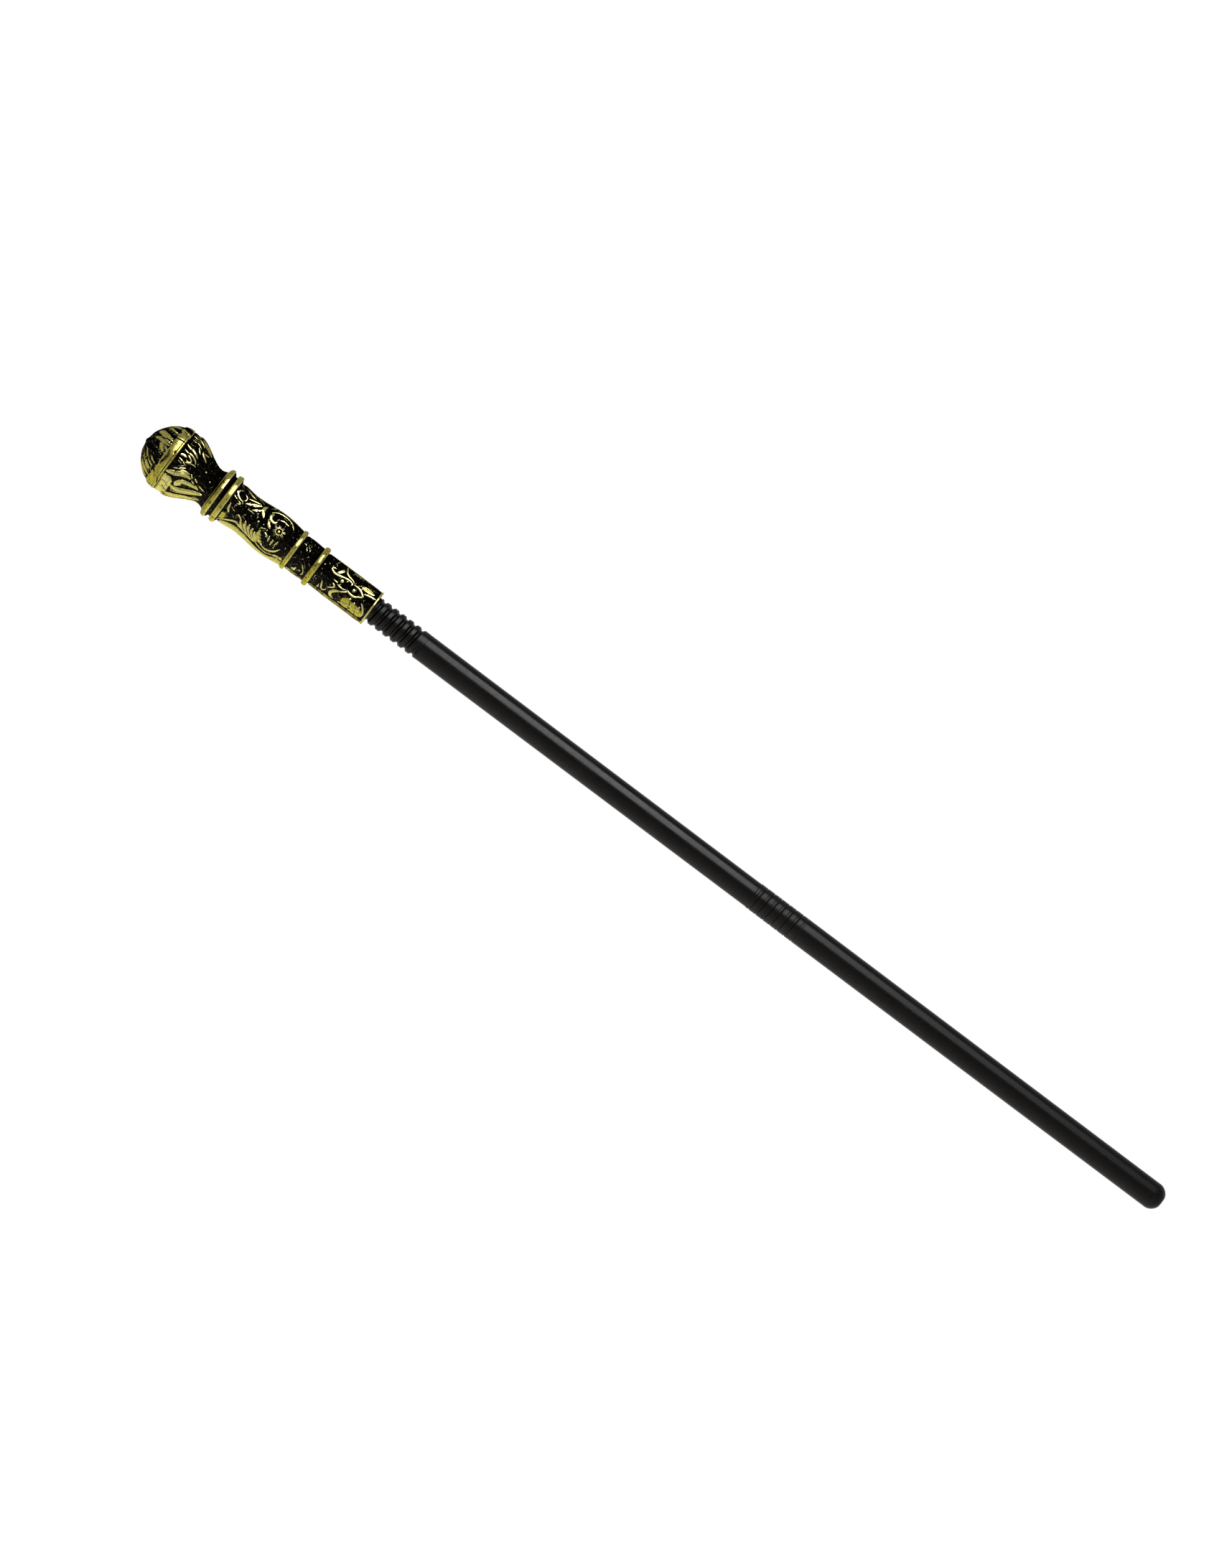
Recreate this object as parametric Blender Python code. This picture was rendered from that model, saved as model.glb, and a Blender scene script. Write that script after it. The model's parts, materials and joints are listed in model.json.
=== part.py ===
"""Sceptre walking stick: a gold handle with a ball knob and two black shafts, which screw apart.

Run it with blender --background --python part.py, or from Blender's text editor.
The stick stands on its tip at the origin, its axis is Z, and the front half of the handle faces -Y.
"""

import math

import bmesh
import bpy

MM = 0.001

# Lengths along the stick, from the top of the knob down to the tip. They add up to 900 mm.
DOME_HEIGHT = 24.6 * MM
CUP_HEIGHT = 36.6 * MM
TOP_RING_WIDTH = 6.4 * MM
RING_GAP = 0.5 * MM
SECOND_RING_WIDTH = 6.4 * MM
GRIP_LENGTH = 54.5 * MM
THIRD_RING_WIDTH = 4.0 * MM
BAND_LENGTH = 15.1 * MM
FOURTH_RING_WIDTH = 4.8 * MM
SLEEVE_LENGTH = 47.6 * MM
NECK_LENGTH = 44.5 * MM
UPPER_TUBE_LENGTH = 293.0 * MM
COLLAR_LENGTH = 43.5 * MM
LOWER_TUBE_LENGTH = 310.3 * MM
TIP_HEIGHT = 8.2 * MM

# Outside radii of the handle
DOME_RADIUS = 24.9 * MM
BELT_RISE = 0.5 * MM
BELT_WIDTH = 6.8 * MM
LIP_RADIUS = 25.1 * MM
DIP_RADIUS = 24.4 * MM
LEAF_RADIUS = 25.15 * MM
KNOB_NECK_RADIUS = 15.25 * MM
CUP_FOOT_RADIUS = 16.6 * MM
TOP_RING_RADIUS = 19.9 * MM
RING_VALLEY_RADIUS = 17.6 * MM
SECOND_RING_RADIUS = 19.4 * MM
GRIP_TOP_RADIUS = 16.4 * MM
GRIP_WAIST_RADIUS = 15.15 * MM
GRIP_SWELL_RADIUS = 16.9 * MM
GRIP_END_RADIUS = 15.2 * MM
LOW_RING_RADIUS = 16.2 * MM
BAND_TOP_RADIUS = 14.75 * MM
BAND_END_RADIUS = 14.45 * MM
SLEEVE_RADIUS = 13.8 * MM

# Where the grip is thinnest and fullest, as shares of its own length
WAIST_PLACE = 0.266
SWELL_PLACE = 0.679

# Form of the leaf cup under the knob
DIP_DEPTH = 5.6 * MM
LEAF_START = 6.8 * MM
KNOB_NECK_HEIGHT = 4.8 * MM
CUP_CURL = 0.75
LEAF_COUNT = 8
LEAF_HOLLOW = 0.8 * MM

# Walls and inner parts of the handle
SHELL_WALL = 2.4 * MM
SLOPE_THICKENING = 1.2
SLEEVE_WALL = 2.0 * MM
SKIRT_DEPTH = 6.0 * MM
SKIRT_WALL = 2.0 * MM
BOSS_RADIUS = 2.4 * MM
BOSS_OVERLAP = 0.6 * MM
PIN_RADIUS = 1.2 * MM
PIN_LENGTH = 4.0 * MM
BUSH_WALL = 3.0 * MM
BUSH_RECESS = 1.1 * MM
FLANGE_RISE = 1.1 * MM
FLANGE_THICKNESS = 2.4 * MM
KEY_WIDTH = 3.0 * MM
KEY_RISE = 0.7 * MM
KEY_LENGTH = 22.0 * MM
KEY_DROP = 1.4 * MM

# Radii of the shafts
NECK_RADIUS = 10.25 * MM
NECK_LAND_RADIUS = 9.75 * MM
NECK_LAND_LENGTH = 1.5 * MM
UPPER_TUBE_TOP_RADIUS = 10.2 * MM
UPPER_TUBE_END_RADIUS = 9.9 * MM
COLLAR_TOP_RADIUS = 10.15 * MM
LOWER_TUBE_TOP_RADIUS = 10.25 * MM
LOWER_TUBE_END_RADIUS = 9.95 * MM
TIP_FLAT_RADIUS = 2.5 * MM

# Walls, screws and plugs of the shafts
TUBE_WALL = 1.8 * MM
COLLAR_WALL = 2.7 * MM
FITTING_BORE_RADIUS = 4.6 * MM
HANDLE_SCREW_LENGTH = 36.0 * MM
JOINT_SCREW_LENGTH = 34.0 * MM
SOCKET_SPARE = 1.5 * MM
PLUG_LENGTH = 26.0 * MM
TIP_PLUG_LENGTH = 18.0 * MM
PLUG_WALL = 2.4 * MM
CORE_FLOOR = 3.0 * MM
LEAD_IN = 1.0 * MM
RIM_EASE = 0.3 * MM

# Spiral grooves, which run left-handed
NECK_PITCH = 6.6 * MM
NECK_GROOVE_DEPTH = 1.4 * MM
NECK_GROOVE_MOUTH = 3.4 * MM
NECK_GROOVE_FLOOR = 0.9 * MM
NECK_GROOVE_MARGIN = 1.5 * MM
COLLAR_PITCH = 6.3 * MM
COLLAR_GROOVE_DEPTH = 0.5 * MM
COLLAR_GROOVE_MOUTH = 0.9 * MM
COLLAR_GROOVE_SPACING = 2.8 * MM
COLLAR_GROOVE_MARGIN = 1.0 * MM
NECK_GROOVE_ANGLE = math.radians(267)
COLLAR_GROOVE_ANGLE = math.radians(9)
BAR_RISE = 0.4

# Gap between pieces that touch, and how far a cutter passes the face that it opens
FIT = 0.3 * MM
PAST = 2.0 * MM

# Facets round the handle, the shafts and the small round parts
HANDLE_FACETS = 32
SHAFT_FACETS = 24
PIN_FACETS = 12
DOME_POWER = 1.8

# Heights above the ground of the two seams that screw apart
JOINT = TIP_HEIGHT + LOWER_TUBE_LENGTH + COLLAR_LENGTH
MOUTH = JOINT + UPPER_TUBE_LENGTH + NECK_LENGTH

# Heights in the handle, from its mouth
SLEEVE_TOP = SLEEVE_LENGTH
BAND_END = SLEEVE_TOP + FOURTH_RING_WIDTH
BAND_TOP = BAND_END + BAND_LENGTH
GRIP_END = BAND_TOP + THIRD_RING_WIDTH
GRIP_TOP = GRIP_END + GRIP_LENGTH
RING_VALLEY_END = GRIP_TOP + SECOND_RING_WIDTH
RING_VALLEY_TOP = RING_VALLEY_END + RING_GAP
CUP_FOOT = RING_VALLEY_TOP + TOP_RING_WIDTH
KNOB_SEAM = CUP_FOOT + CUP_HEIGHT
KNOB_NECK = CUP_FOOT + KNOB_NECK_HEIGHT
LEAF_CREST = KNOB_SEAM - LEAF_START

# Heights in the upper shaft, from the handle's mouth
UPPER_TUBE_TOP = -NECK_LENGTH
UPPER_TUBE_END = UPPER_TUBE_TOP - UPPER_TUBE_LENGTH

# Heights in the lower shaft, from the joint
LOWER_TUBE_TOP = -COLLAR_LENGTH
LOWER_TUBE_END = LOWER_TUBE_TOP - LOWER_TUBE_LENGTH
TIP_END = LOWER_TUBE_END - TIP_HEIGHT

# Radii that follow from a wall and the gap between pieces
CUP_BORE = LIP_RADIUS - SHELL_WALL
SLOPE_WALL = SHELL_WALL * SLOPE_THICKENING
BUSH_BORE_IN_SHELL = SLEEVE_RADIUS - SLEEVE_WALL
BUSH_RADIUS = BUSH_BORE_IN_SHELL - FIT
BUSH_BORE = BUSH_RADIUS - BUSH_WALL
HANDLE_SCREW_RADIUS = BUSH_BORE - FIT
UPPER_TUBE_BORE = UPPER_TUBE_END_RADIUS - TUBE_WALL
LOWER_TUBE_BORE = LOWER_TUBE_END_RADIUS - TUBE_WALL
COLLAR_BORE = COLLAR_TOP_RADIUS - COLLAR_WALL
JOINT_SCREW_RADIUS = COLLAR_BORE - FIT
FLANGE_TOP = SLEEVE_TOP + (FOURTH_RING_WIDTH + FLANGE_THICKNESS) / 2


def ease(t):
    """0 to 1 with a level start and end."""
    return (1 - math.cos(math.pi * t)) / 2


def cup_fall(t):
    """How far the leaf cup has drawn in below its leaf tops: an S-curve mixed with a cone."""
    return CUP_CURL * ease(t) + (1 - CUP_CURL) * t


def rounded_off(t):
    """0 to 1, starting level and ending steep, as a barrel's end does."""
    return 1 - math.cos(math.pi * t / 2)


def run(start, end, steps, form):
    """(radius, height) outline points after start, down to end. The form says how the radius changes."""
    points = []
    for step in range(1, steps + 1):
        t = step / steps
        radius = start[0] + (end[0] - start[0]) * form(t)
        points.append((radius, start[1] + (end[1] - start[1]) * t))
    return points


def bead(start, end, crest, steps):
    """Outline points of a half-round ring after start, down to end."""
    points = []
    for step in range(1, steps + 1):
        turn = math.pi * step / steps
        t = (1 - math.cos(turn)) / 2
        base = start[0] + (end[0] - start[0]) * t
        points.append((base + (crest - base) * math.sin(turn), start[1] + (end[1] - start[1]) * t))
    return points


def dome(radius, height, flat, steps):
    """(radius, depth) points of a slightly pointed dome, from its flat or its apex to its rim."""
    points = []
    for step in range(steps + 1):
        turn = math.pi / 2 * step / steps
        out = flat + (radius - flat) * math.sin(turn) ** (2 / DOME_POWER)
        points.append((out, height * (1 - max(math.cos(turn), 0) ** (2 / DOME_POWER))))
    return points


def turned(outline, facets):
    """A solid turned on Z from (radius, height) points: a loop, or an outline between two axis points."""
    shape = bmesh.new()
    corners = [shape.verts.new((radius, 0, height)) for radius, height in outline]
    pairs = list(zip(corners, corners[1:]))
    if outline[0][0] > 0 or outline[-1][0] > 0:
        pairs.append((corners[-1], corners[0]))
    edges = [shape.edges.new(pair) for pair in pairs]
    bmesh.ops.spin(
        shape,
        geom=corners + edges,
        cent=(0, 0, 0),
        axis=(0, 0, 1),
        angle=math.tau,
        steps=facets,
        use_merge=True,
    )
    bmesh.ops.remove_doubles(shape, verts=shape.verts, dist=MM / 1000)
    bmesh.ops.recalc_face_normals(shape, faces=shape.faces)
    return shape


def block(low, high):
    """A box between two corners."""
    shape = bmesh.new()
    bmesh.ops.create_cube(shape, size=1)
    for vert in shape.verts:
        for axis in range(3):
            vert.co[axis] = low[axis] + (high[axis] - low[axis]) * (vert.co[axis] + 0.5)
    return shape


def post(x, z, radius, front, back):
    """A round post along Y between two depths."""
    shape = bmesh.new()
    bmesh.ops.create_cone(
        shape,
        cap_ends=True,
        segments=PIN_FACETS,
        radius1=radius,
        radius2=radius,
        depth=back - front,
    )
    for vert in shape.verts:
        across, down, along = vert.co
        vert.co = (x + across, (front + back) / 2 + along, z - down)
    return shape


def spiral_bar(radius, top, bottom, pitch, depth, mouth, floor, angle):
    """A left-handed bar to cut a groove with, which runs out over an eighth of a turn at both ends."""
    over = BAR_RISE * depth
    wide = mouth + (mouth - floor) * over / depth
    section = [(over, wide / 2), (-depth, floor / 2), (over, -wide / 2)]
    if floor:
        section.insert(2, (-depth, -floor / 2))
    steps = round((top - bottom) / pitch * SHAFT_FACETS)
    run_out = SHAFT_FACETS // 8
    first = round(angle / math.tau * SHAFT_FACETS)
    shape = bmesh.new()
    rings = []
    for step in range(steps + 1):
        at = math.tau * (first - step - 0.5) / SHAFT_FACETS
        lift = (depth + over / 2) * (1 - min(1, step / run_out, (steps - step) / run_out))
        height = bottom + pitch * step / SHAFT_FACETS
        ring = []
        for out, up in section:
            reach = radius + out + lift
            ring.append(shape.verts.new((reach * math.cos(at), reach * math.sin(at), height + up)))
        rings.append(ring)
    for low, high in zip(rings, rings[1:]):
        for i in range(len(section)):
            j = (i + 1) % len(section)
            shape.faces.new((low[i], low[j], high[j], high[i]))
    shape.faces.new(rings[0])
    shape.faces.new(rings[-1])
    bmesh.ops.recalc_face_normals(shape, faces=shape.faces)
    return shape


def finish(name, colour, metallic, roughness):
    """A plain material for one kind of piece."""
    material = bpy.data.materials.new(name)
    material.use_nodes = True
    shader = material.node_tree.nodes["Principled BSDF"]
    shader.inputs["Base Color"].default_value = (*colour, 1)
    shader.inputs["Metallic"].default_value = metallic
    shader.inputs["Roughness"].default_value = roughness
    material.diffuse_color = (*colour, 1)
    return material


def body(name, height):
    """An empty on the stick's axis that carries the pieces which move together."""
    empty = bpy.data.objects.new(name, None)
    empty.location = (0, 0, height)
    bpy.context.scene.collection.objects.link(empty)
    return empty


def place(name, shape, carrier):
    """Makes an object of a shape that is drawn from its carrier's place."""
    mesh = bpy.data.meshes.new(name)
    shape.to_mesh(mesh)
    shape.free()
    mesh.shade_smooth()
    mesh.set_sharp_from_angle(angle=math.radians(40))
    made = bpy.data.objects.new(name, mesh)
    made.parent = carrier
    bpy.context.scene.collection.objects.link(made)
    return made


def cutter(name, shape, carrier):
    """A helper that only shapes other pieces."""
    made = place(name, shape, carrier)
    made.hide_render = True
    made.display_type = "WIRE"
    return made


def combine(target, operation, other):
    """Adds a live Boolean to a piece."""
    modifier = target.modifiers.new(other.name, "BOOLEAN")
    modifier.operation = operation
    modifier.solver = "EXACT"
    modifier.object = other


def handle_outline():
    """The outside of the leaf cup, rings, grip, band and sleeve, from the knob's seam down to the mouth."""
    points = [(LIP_RADIUS, KNOB_SEAM)]
    points += run(points[-1], (DIP_RADIUS, KNOB_SEAM - DIP_DEPTH), 3, ease)
    points.append((LEAF_RADIUS, LEAF_CREST))
    points += run(points[-1], (KNOB_NECK_RADIUS, KNOB_NECK), 10, cup_fall)
    points += run(points[-1], (CUP_FOOT_RADIUS, CUP_FOOT), 3, rounded_off)
    points += bead(points[-1], (RING_VALLEY_RADIUS, RING_VALLEY_TOP), TOP_RING_RADIUS, 5)
    points.append((RING_VALLEY_RADIUS, RING_VALLEY_END))
    points += bead(points[-1], (GRIP_TOP_RADIUS, GRIP_TOP), SECOND_RING_RADIUS, 5)
    points += run(points[-1], (GRIP_WAIST_RADIUS, GRIP_TOP - GRIP_LENGTH * WAIST_PLACE), 4, ease)
    points += run(points[-1], (GRIP_SWELL_RADIUS, GRIP_TOP - GRIP_LENGTH * SWELL_PLACE), 5, ease)
    points += run(points[-1], (GRIP_END_RADIUS, GRIP_END), 4, rounded_off)
    points += bead(points[-1], (BAND_TOP_RADIUS, BAND_TOP), LOW_RING_RADIUS, 4)
    points.append((BAND_END_RADIUS, BAND_END))
    points += bead(points[-1], (SLEEVE_RADIUS, SLEEVE_TOP), LOW_RING_RADIUS, 4)
    points.append((SLEEVE_RADIUS, 0))
    return points


def cavity_outline():
    """The hollow of the handle, which leaves the shell's wall and a groove for the bush's flange."""
    points = [(0, KNOB_SEAM + PAST), (CUP_BORE, KNOB_SEAM + PAST), (CUP_BORE, LEAF_CREST)]
    for t in (0.25, 0.5, 0.75):
        outside = LEAF_RADIUS + (KNOB_NECK_RADIUS - LEAF_RADIUS) * cup_fall(t)
        points.append((outside - SLOPE_WALL, LEAF_CREST + (KNOB_NECK - LEAF_CREST) * t))
    points.append((KNOB_NECK_RADIUS - SHELL_WALL, KNOB_NECK))
    points.append((GRIP_WAIST_RADIUS - SHELL_WALL, GRIP_TOP - GRIP_LENGTH * WAIST_PLACE))
    points.append((GRIP_SWELL_RADIUS - SHELL_WALL, GRIP_TOP - GRIP_LENGTH * SWELL_PLACE))
    points.append((GRIP_END_RADIUS - SHELL_WALL, GRIP_END))
    points.append((BAND_END_RADIUS - SHELL_WALL, FLANGE_TOP + FIT))
    points.append((BUSH_RADIUS + FLANGE_RISE + FIT, FLANGE_TOP + FIT))
    points.append((BUSH_RADIUS + FLANGE_RISE + FIT, FLANGE_TOP - FLANGE_THICKNESS - FIT))
    points.append((BUSH_BORE_IN_SHELL, FLANGE_TOP - FLANGE_THICKNESS - FIT))
    points.append((BUSH_BORE_IN_SHELL, -PAST))
    points.append((0, -PAST))
    return points


def key_block(gap):
    """The bar through the bush's middle whose ends are its two keys, larger by gap all round."""
    reach = BUSH_RADIUS + KEY_RISE + gap
    top = FLANGE_TOP - FLANGE_THICKNESS - KEY_DROP
    low = (-reach, -KEY_WIDTH / 2 - gap, top - KEY_LENGTH - gap)
    return block(low, (reach, KEY_WIDTH / 2 + gap, top + gap))


def boss_places():
    """(x, z) of the posts that hold the two shells in line: two in the cup and two in the grip's swell."""
    middle = (LEAF_CREST + KNOB_NECK) / 2
    cup_wall = (LEAF_RADIUS + KNOB_NECK_RADIUS) / 2 - SLOPE_WALL
    swell = GRIP_TOP - GRIP_LENGTH * SWELL_PLACE
    swell_wall = GRIP_SWELL_RADIUS - SHELL_WALL
    for wall, height in ((cup_wall, middle), (swell_wall, swell)):
        for side in (-1, 1):
            yield side * (wall + BOSS_OVERLAP - BOSS_RADIUS), height


def make_knob_cap(carrier, gold):
    """The dome of the knob with its belt, hollow, with a skirt that goes into the cup."""
    top = KNOB_SEAM + DOME_HEIGHT
    seat = KNOB_SEAM + FIT
    rim = dome(DOME_RADIUS, DOME_HEIGHT, 0, 10)
    outside = [(radius, top - depth) for radius, depth in rim if top - depth > KNOB_SEAM + BELT_WIDTH]
    outside.append((outside[-1][0] + BELT_RISE, KNOB_SEAM + BELT_WIDTH))
    outside.append((DOME_RADIUS + BELT_RISE / 2, KNOB_SEAM + BELT_WIDTH / 2))
    outside.append((DOME_RADIUS + BELT_RISE, seat + BELT_RISE))
    outside.append((LIP_RADIUS, seat))
    skirt_radius = CUP_BORE - FIT
    skirt_end = seat - SKIRT_DEPTH
    inner_radius = skirt_radius - SKIRT_WALL
    outside += [(skirt_radius, seat), (skirt_radius, skirt_end), (inner_radius, skirt_end)]
    hollow = dome(inner_radius, DOME_HEIGHT - SHELL_WALL, 0, 5)
    inside = [(radius, top - SHELL_WALL - depth) for radius, depth in reversed(hollow)]
    cap = place("knob_cap", turned(outside + inside, HANDLE_FACETS), carrier)
    cap.data.materials.append(gold)


def leaf_lobes(shape):
    """Draws the cup in between its leaves, which are broadest half way down."""
    for vert in shape.verts:
        t = (LEAF_CREST - vert.co.z) / (LEAF_CREST - KNOB_NECK)
        if 0 < t < 1:
            angle = math.atan2(vert.co.y, vert.co.x)
            between = 1 - abs(math.cos(LEAF_COUNT / 2 * angle))
            radius = math.hypot(vert.co.x, vert.co.y)
            drawn = 1 - LEAF_HOLLOW * math.sin(math.pi * t) * between / radius
            vert.co.x *= drawn
            vert.co.y *= drawn


def make_shells(carrier, gold):
    """The two halves of the handle, hollow, with posts, pins and holes that line them up."""
    core = cutter("handle_cavity", turned(cavity_outline(), HANDLE_FACETS), carrier)
    combine(core, "UNION", cutter("key_slots", key_block(FIT), carrier))
    reach = LEAF_RADIUS + PAST
    for number, (x, z) in enumerate(boss_places(), 1):
        boss = post(x, z, BOSS_RADIUS, -reach, reach)
        combine(core, "DIFFERENCE", cutter(f"boss_{number}", boss, carrier))
    # What is cut away from the front shell spares its pins, and from the rear shell takes their holes too.
    halves = (
        ("handle_front_shell", 1, "DIFFERENCE", 0),
        ("handle_rear_shell", -1, "UNION", FIT),
    )
    for name, other_side, for_pins, gap in halves:
        outside = handle_outline()
        outside = [(0, outside[0][1])] + outside + [(0, outside[-1][1])]
        shape = turned(outside, HANDLE_FACETS)
        leaf_lobes(shape)
        shell = place(name, shape, carrier)
        shell.data.materials.append(gold)
        combine(shell, "DIFFERENCE", core)
        depths = sorted((-other_side * FIT / 2, other_side * reach))
        half = block((-reach, depths[0], -PAST), (reach, depths[1], KNOB_SEAM + PAST))
        parting = cutter(name + "_parting", half, carrier)
        for number, (x, z) in enumerate(boss_places(), 1):
            pin = post(x, z, PIN_RADIUS + gap, -PIN_LENGTH - gap, PIN_LENGTH + gap)
            combine(parting, for_pins, cutter(f"{name}_pin_{number}", pin, carrier))
        combine(shell, "DIFFERENCE", parting)


def make_bush(carrier, black):
    """The screw socket that the shells trap by its flange and stop from turning by its keys."""
    bottom = BUSH_RECESS
    under_flange = FLANGE_TOP - FLANGE_THICKNESS
    flange_radius = BUSH_RADIUS + FLANGE_RISE
    outline = [(flange_radius, FLANGE_TOP), (flange_radius, under_flange), (BUSH_RADIUS, under_flange)]
    outline += [(BUSH_RADIUS, bottom), (BUSH_BORE + RIM_EASE, bottom), (BUSH_BORE, bottom + LEAD_IN)]
    outline += [(BUSH_BORE, FLANGE_TOP)]
    bush = place("handle_bush", turned(outline, SHAFT_FACETS), carrier)
    bush.data.materials.append(black)
    combine(bush, "UNION", cutter("bush_keys", key_block(0), carrier))
    bore_top = FLANGE_TOP + PAST
    bore_end = bottom - PAST
    bore = [(0, bore_top), (BUSH_BORE, bore_top), (BUSH_BORE, bore_end), (0, bore_end)]
    combine(bush, "DIFFERENCE", cutter("bush_bore", turned(bore, SHAFT_FACETS), carrier))


def make_neck_screw(carrier, black):
    """The fitting on top of the upper shaft: screw, spiral neck and plug, bored through."""
    land_top = BUSH_RECESS - FIT
    screw_top = land_top + HANDLE_SCREW_LENGTH
    shoulder = UPPER_TUBE_TOP + FIT
    plug_radius = UPPER_TUBE_BORE - FIT
    plug_end = shoulder - PLUG_LENGTH
    land_end = -NECK_LAND_LENGTH
    outline = [
        (FITTING_BORE_RADIUS, screw_top),
        (HANDLE_SCREW_RADIUS - LEAD_IN, screw_top),
        (HANDLE_SCREW_RADIUS, screw_top - LEAD_IN),
        (HANDLE_SCREW_RADIUS, land_top),
        (NECK_LAND_RADIUS, land_top),
        (NECK_LAND_RADIUS, land_end),
        (NECK_RADIUS, land_end - NECK_RADIUS + NECK_LAND_RADIUS),
        (NECK_RADIUS, shoulder),
        (plug_radius, shoulder),
        (plug_radius, plug_end + LEAD_IN),
        (plug_radius - LEAD_IN, plug_end),
        (FITTING_BORE_RADIUS, plug_end),
    ]
    neck = place("neck_screw", turned(outline, SHAFT_FACETS), carrier)
    neck.data.materials.append(black)
    groove = spiral_bar(
        NECK_RADIUS,
        0,
        shoulder + NECK_GROOVE_MARGIN,
        NECK_PITCH,
        NECK_GROOVE_DEPTH,
        NECK_GROOVE_MOUTH,
        NECK_GROOVE_FLOOR,
        NECK_GROOVE_ANGLE,
    )
    combine(neck, "DIFFERENCE", cutter("neck_groove", groove, carrier))


def make_tube(name, top, bottom, top_radius, bottom_radius, bore, carrier, black):
    """A plain tube whose outside tapers and whose bore is straight."""
    outline = [(bore, top), (top_radius, top), (bottom_radius, bottom), (bore, bottom)]
    tube = place(name, turned(outline, SHAFT_FACETS), carrier)
    tube.data.materials.append(black)


def make_joint_screw(carrier, black):
    """The fitting in the lower end of the upper shaft: plug and screw, bored through."""
    tube_end = UPPER_TUBE_END + FIT
    plug_radius = UPPER_TUBE_BORE - FIT
    plug_top = tube_end + PLUG_LENGTH
    screw_end = tube_end - JOINT_SCREW_LENGTH
    outline = [
        (FITTING_BORE_RADIUS, plug_top),
        (plug_radius - LEAD_IN, plug_top),
        (plug_radius, plug_top - LEAD_IN),
        (plug_radius, tube_end),
        (JOINT_SCREW_RADIUS, tube_end),
        (JOINT_SCREW_RADIUS, screw_end + LEAD_IN),
        (JOINT_SCREW_RADIUS - LEAD_IN, screw_end),
        (FITTING_BORE_RADIUS, screw_end),
    ]
    screw = place("joint_screw", turned(outline, SHAFT_FACETS), carrier)
    screw.data.materials.append(black)


def make_joint_collar(carrier, black):
    """The grooved socket on top of the lower shaft, with a hollow plug that goes into the tube."""
    shoulder = LOWER_TUBE_TOP + FIT
    plug_radius = LOWER_TUBE_BORE - FIT
    plug_end = shoulder - PLUG_LENGTH
    socket_end = -JOINT_SCREW_LENGTH - SOCKET_SPARE
    core_top = min(socket_end, shoulder) - CORE_FLOOR
    outline = [
        (0, socket_end),
        (COLLAR_BORE, socket_end),
        (COLLAR_BORE, -LEAD_IN),
        (COLLAR_BORE + RIM_EASE, 0),
        (COLLAR_TOP_RADIUS - RIM_EASE, 0),
        (COLLAR_TOP_RADIUS, -RIM_EASE),
        (LOWER_TUBE_TOP_RADIUS, shoulder),
        (plug_radius, shoulder),
        (plug_radius, plug_end + LEAD_IN),
        (plug_radius - LEAD_IN, plug_end),
        (plug_radius - PLUG_WALL, plug_end),
        (plug_radius - PLUG_WALL, core_top),
        (0, core_top),
    ]
    collar = place("joint_collar", turned(outline, SHAFT_FACETS), carrier)
    collar.data.materials.append(black)
    for number, lift in enumerate((0, COLLAR_GROOVE_SPACING), 1):
        groove = spiral_bar(
            COLLAR_TOP_RADIUS,
            -COLLAR_GROOVE_MARGIN,
            shoulder + COLLAR_GROOVE_MARGIN + lift,
            COLLAR_PITCH,
            COLLAR_GROOVE_DEPTH,
            COLLAR_GROOVE_MOUTH,
            0,
            COLLAR_GROOVE_ANGLE,
        )
        combine(collar, "DIFFERENCE", cutter(f"collar_groove_{number}", groove, carrier))


def make_tip_plug(carrier, black):
    """The blunt end, with a small flat to stand on and a hollow plug that goes into the tube."""
    plug_radius = LOWER_TUBE_BORE - FIT
    plug_top = LOWER_TUBE_END + TIP_PLUG_LENGTH
    rim = dome(LOWER_TUBE_END_RADIUS, TIP_HEIGHT, TIP_FLAT_RADIUS, 6)
    outline = [
        (0, LOWER_TUBE_END + CORE_FLOOR),
        (plug_radius - PLUG_WALL, LOWER_TUBE_END + CORE_FLOOR),
        (plug_radius - PLUG_WALL, plug_top),
        (plug_radius - LEAD_IN, plug_top),
        (plug_radius, plug_top - LEAD_IN),
        (plug_radius, LOWER_TUBE_END),
        *[(radius, TIP_END + height) for radius, height in reversed(rim)],
        (0, TIP_END),
    ]
    tip = place("tip_plug", turned(outline, SHAFT_FACETS), carrier)
    tip.data.materials.append(black)


def main():
    for old in list(bpy.data.objects):
        bpy.data.objects.remove(old)
    gold = finish("antique gold lacquer", (0.47, 0.41, 0.07), 0.7, 0.35)
    black = finish("satin black plastic", (0.012, 0.011, 0.010), 0.0, 0.42)
    handle = body("handle", MOUTH)
    upper = body("upper_shaft", MOUTH)
    lower = body("lower_shaft", JOINT)
    make_knob_cap(handle, gold)
    make_shells(handle, gold)
    make_bush(handle, black)
    make_neck_screw(upper, black)
    make_tube(
        "upper_tube",
        UPPER_TUBE_TOP,
        UPPER_TUBE_END + FIT,
        UPPER_TUBE_TOP_RADIUS,
        UPPER_TUBE_END_RADIUS,
        UPPER_TUBE_BORE,
        upper,
        black,
    )
    make_joint_screw(upper, black)
    make_joint_collar(lower, black)
    make_tube(
        "lower_tube",
        LOWER_TUBE_TOP,
        LOWER_TUBE_END + FIT,
        LOWER_TUBE_TOP_RADIUS,
        LOWER_TUBE_END_RADIUS,
        LOWER_TUBE_BORE,
        lower,
        black,
    )
    make_tip_plug(lower, black)


main()
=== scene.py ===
"""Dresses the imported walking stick: carved gold handle, spiral neck, black shafts, studio and camera."""

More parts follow.
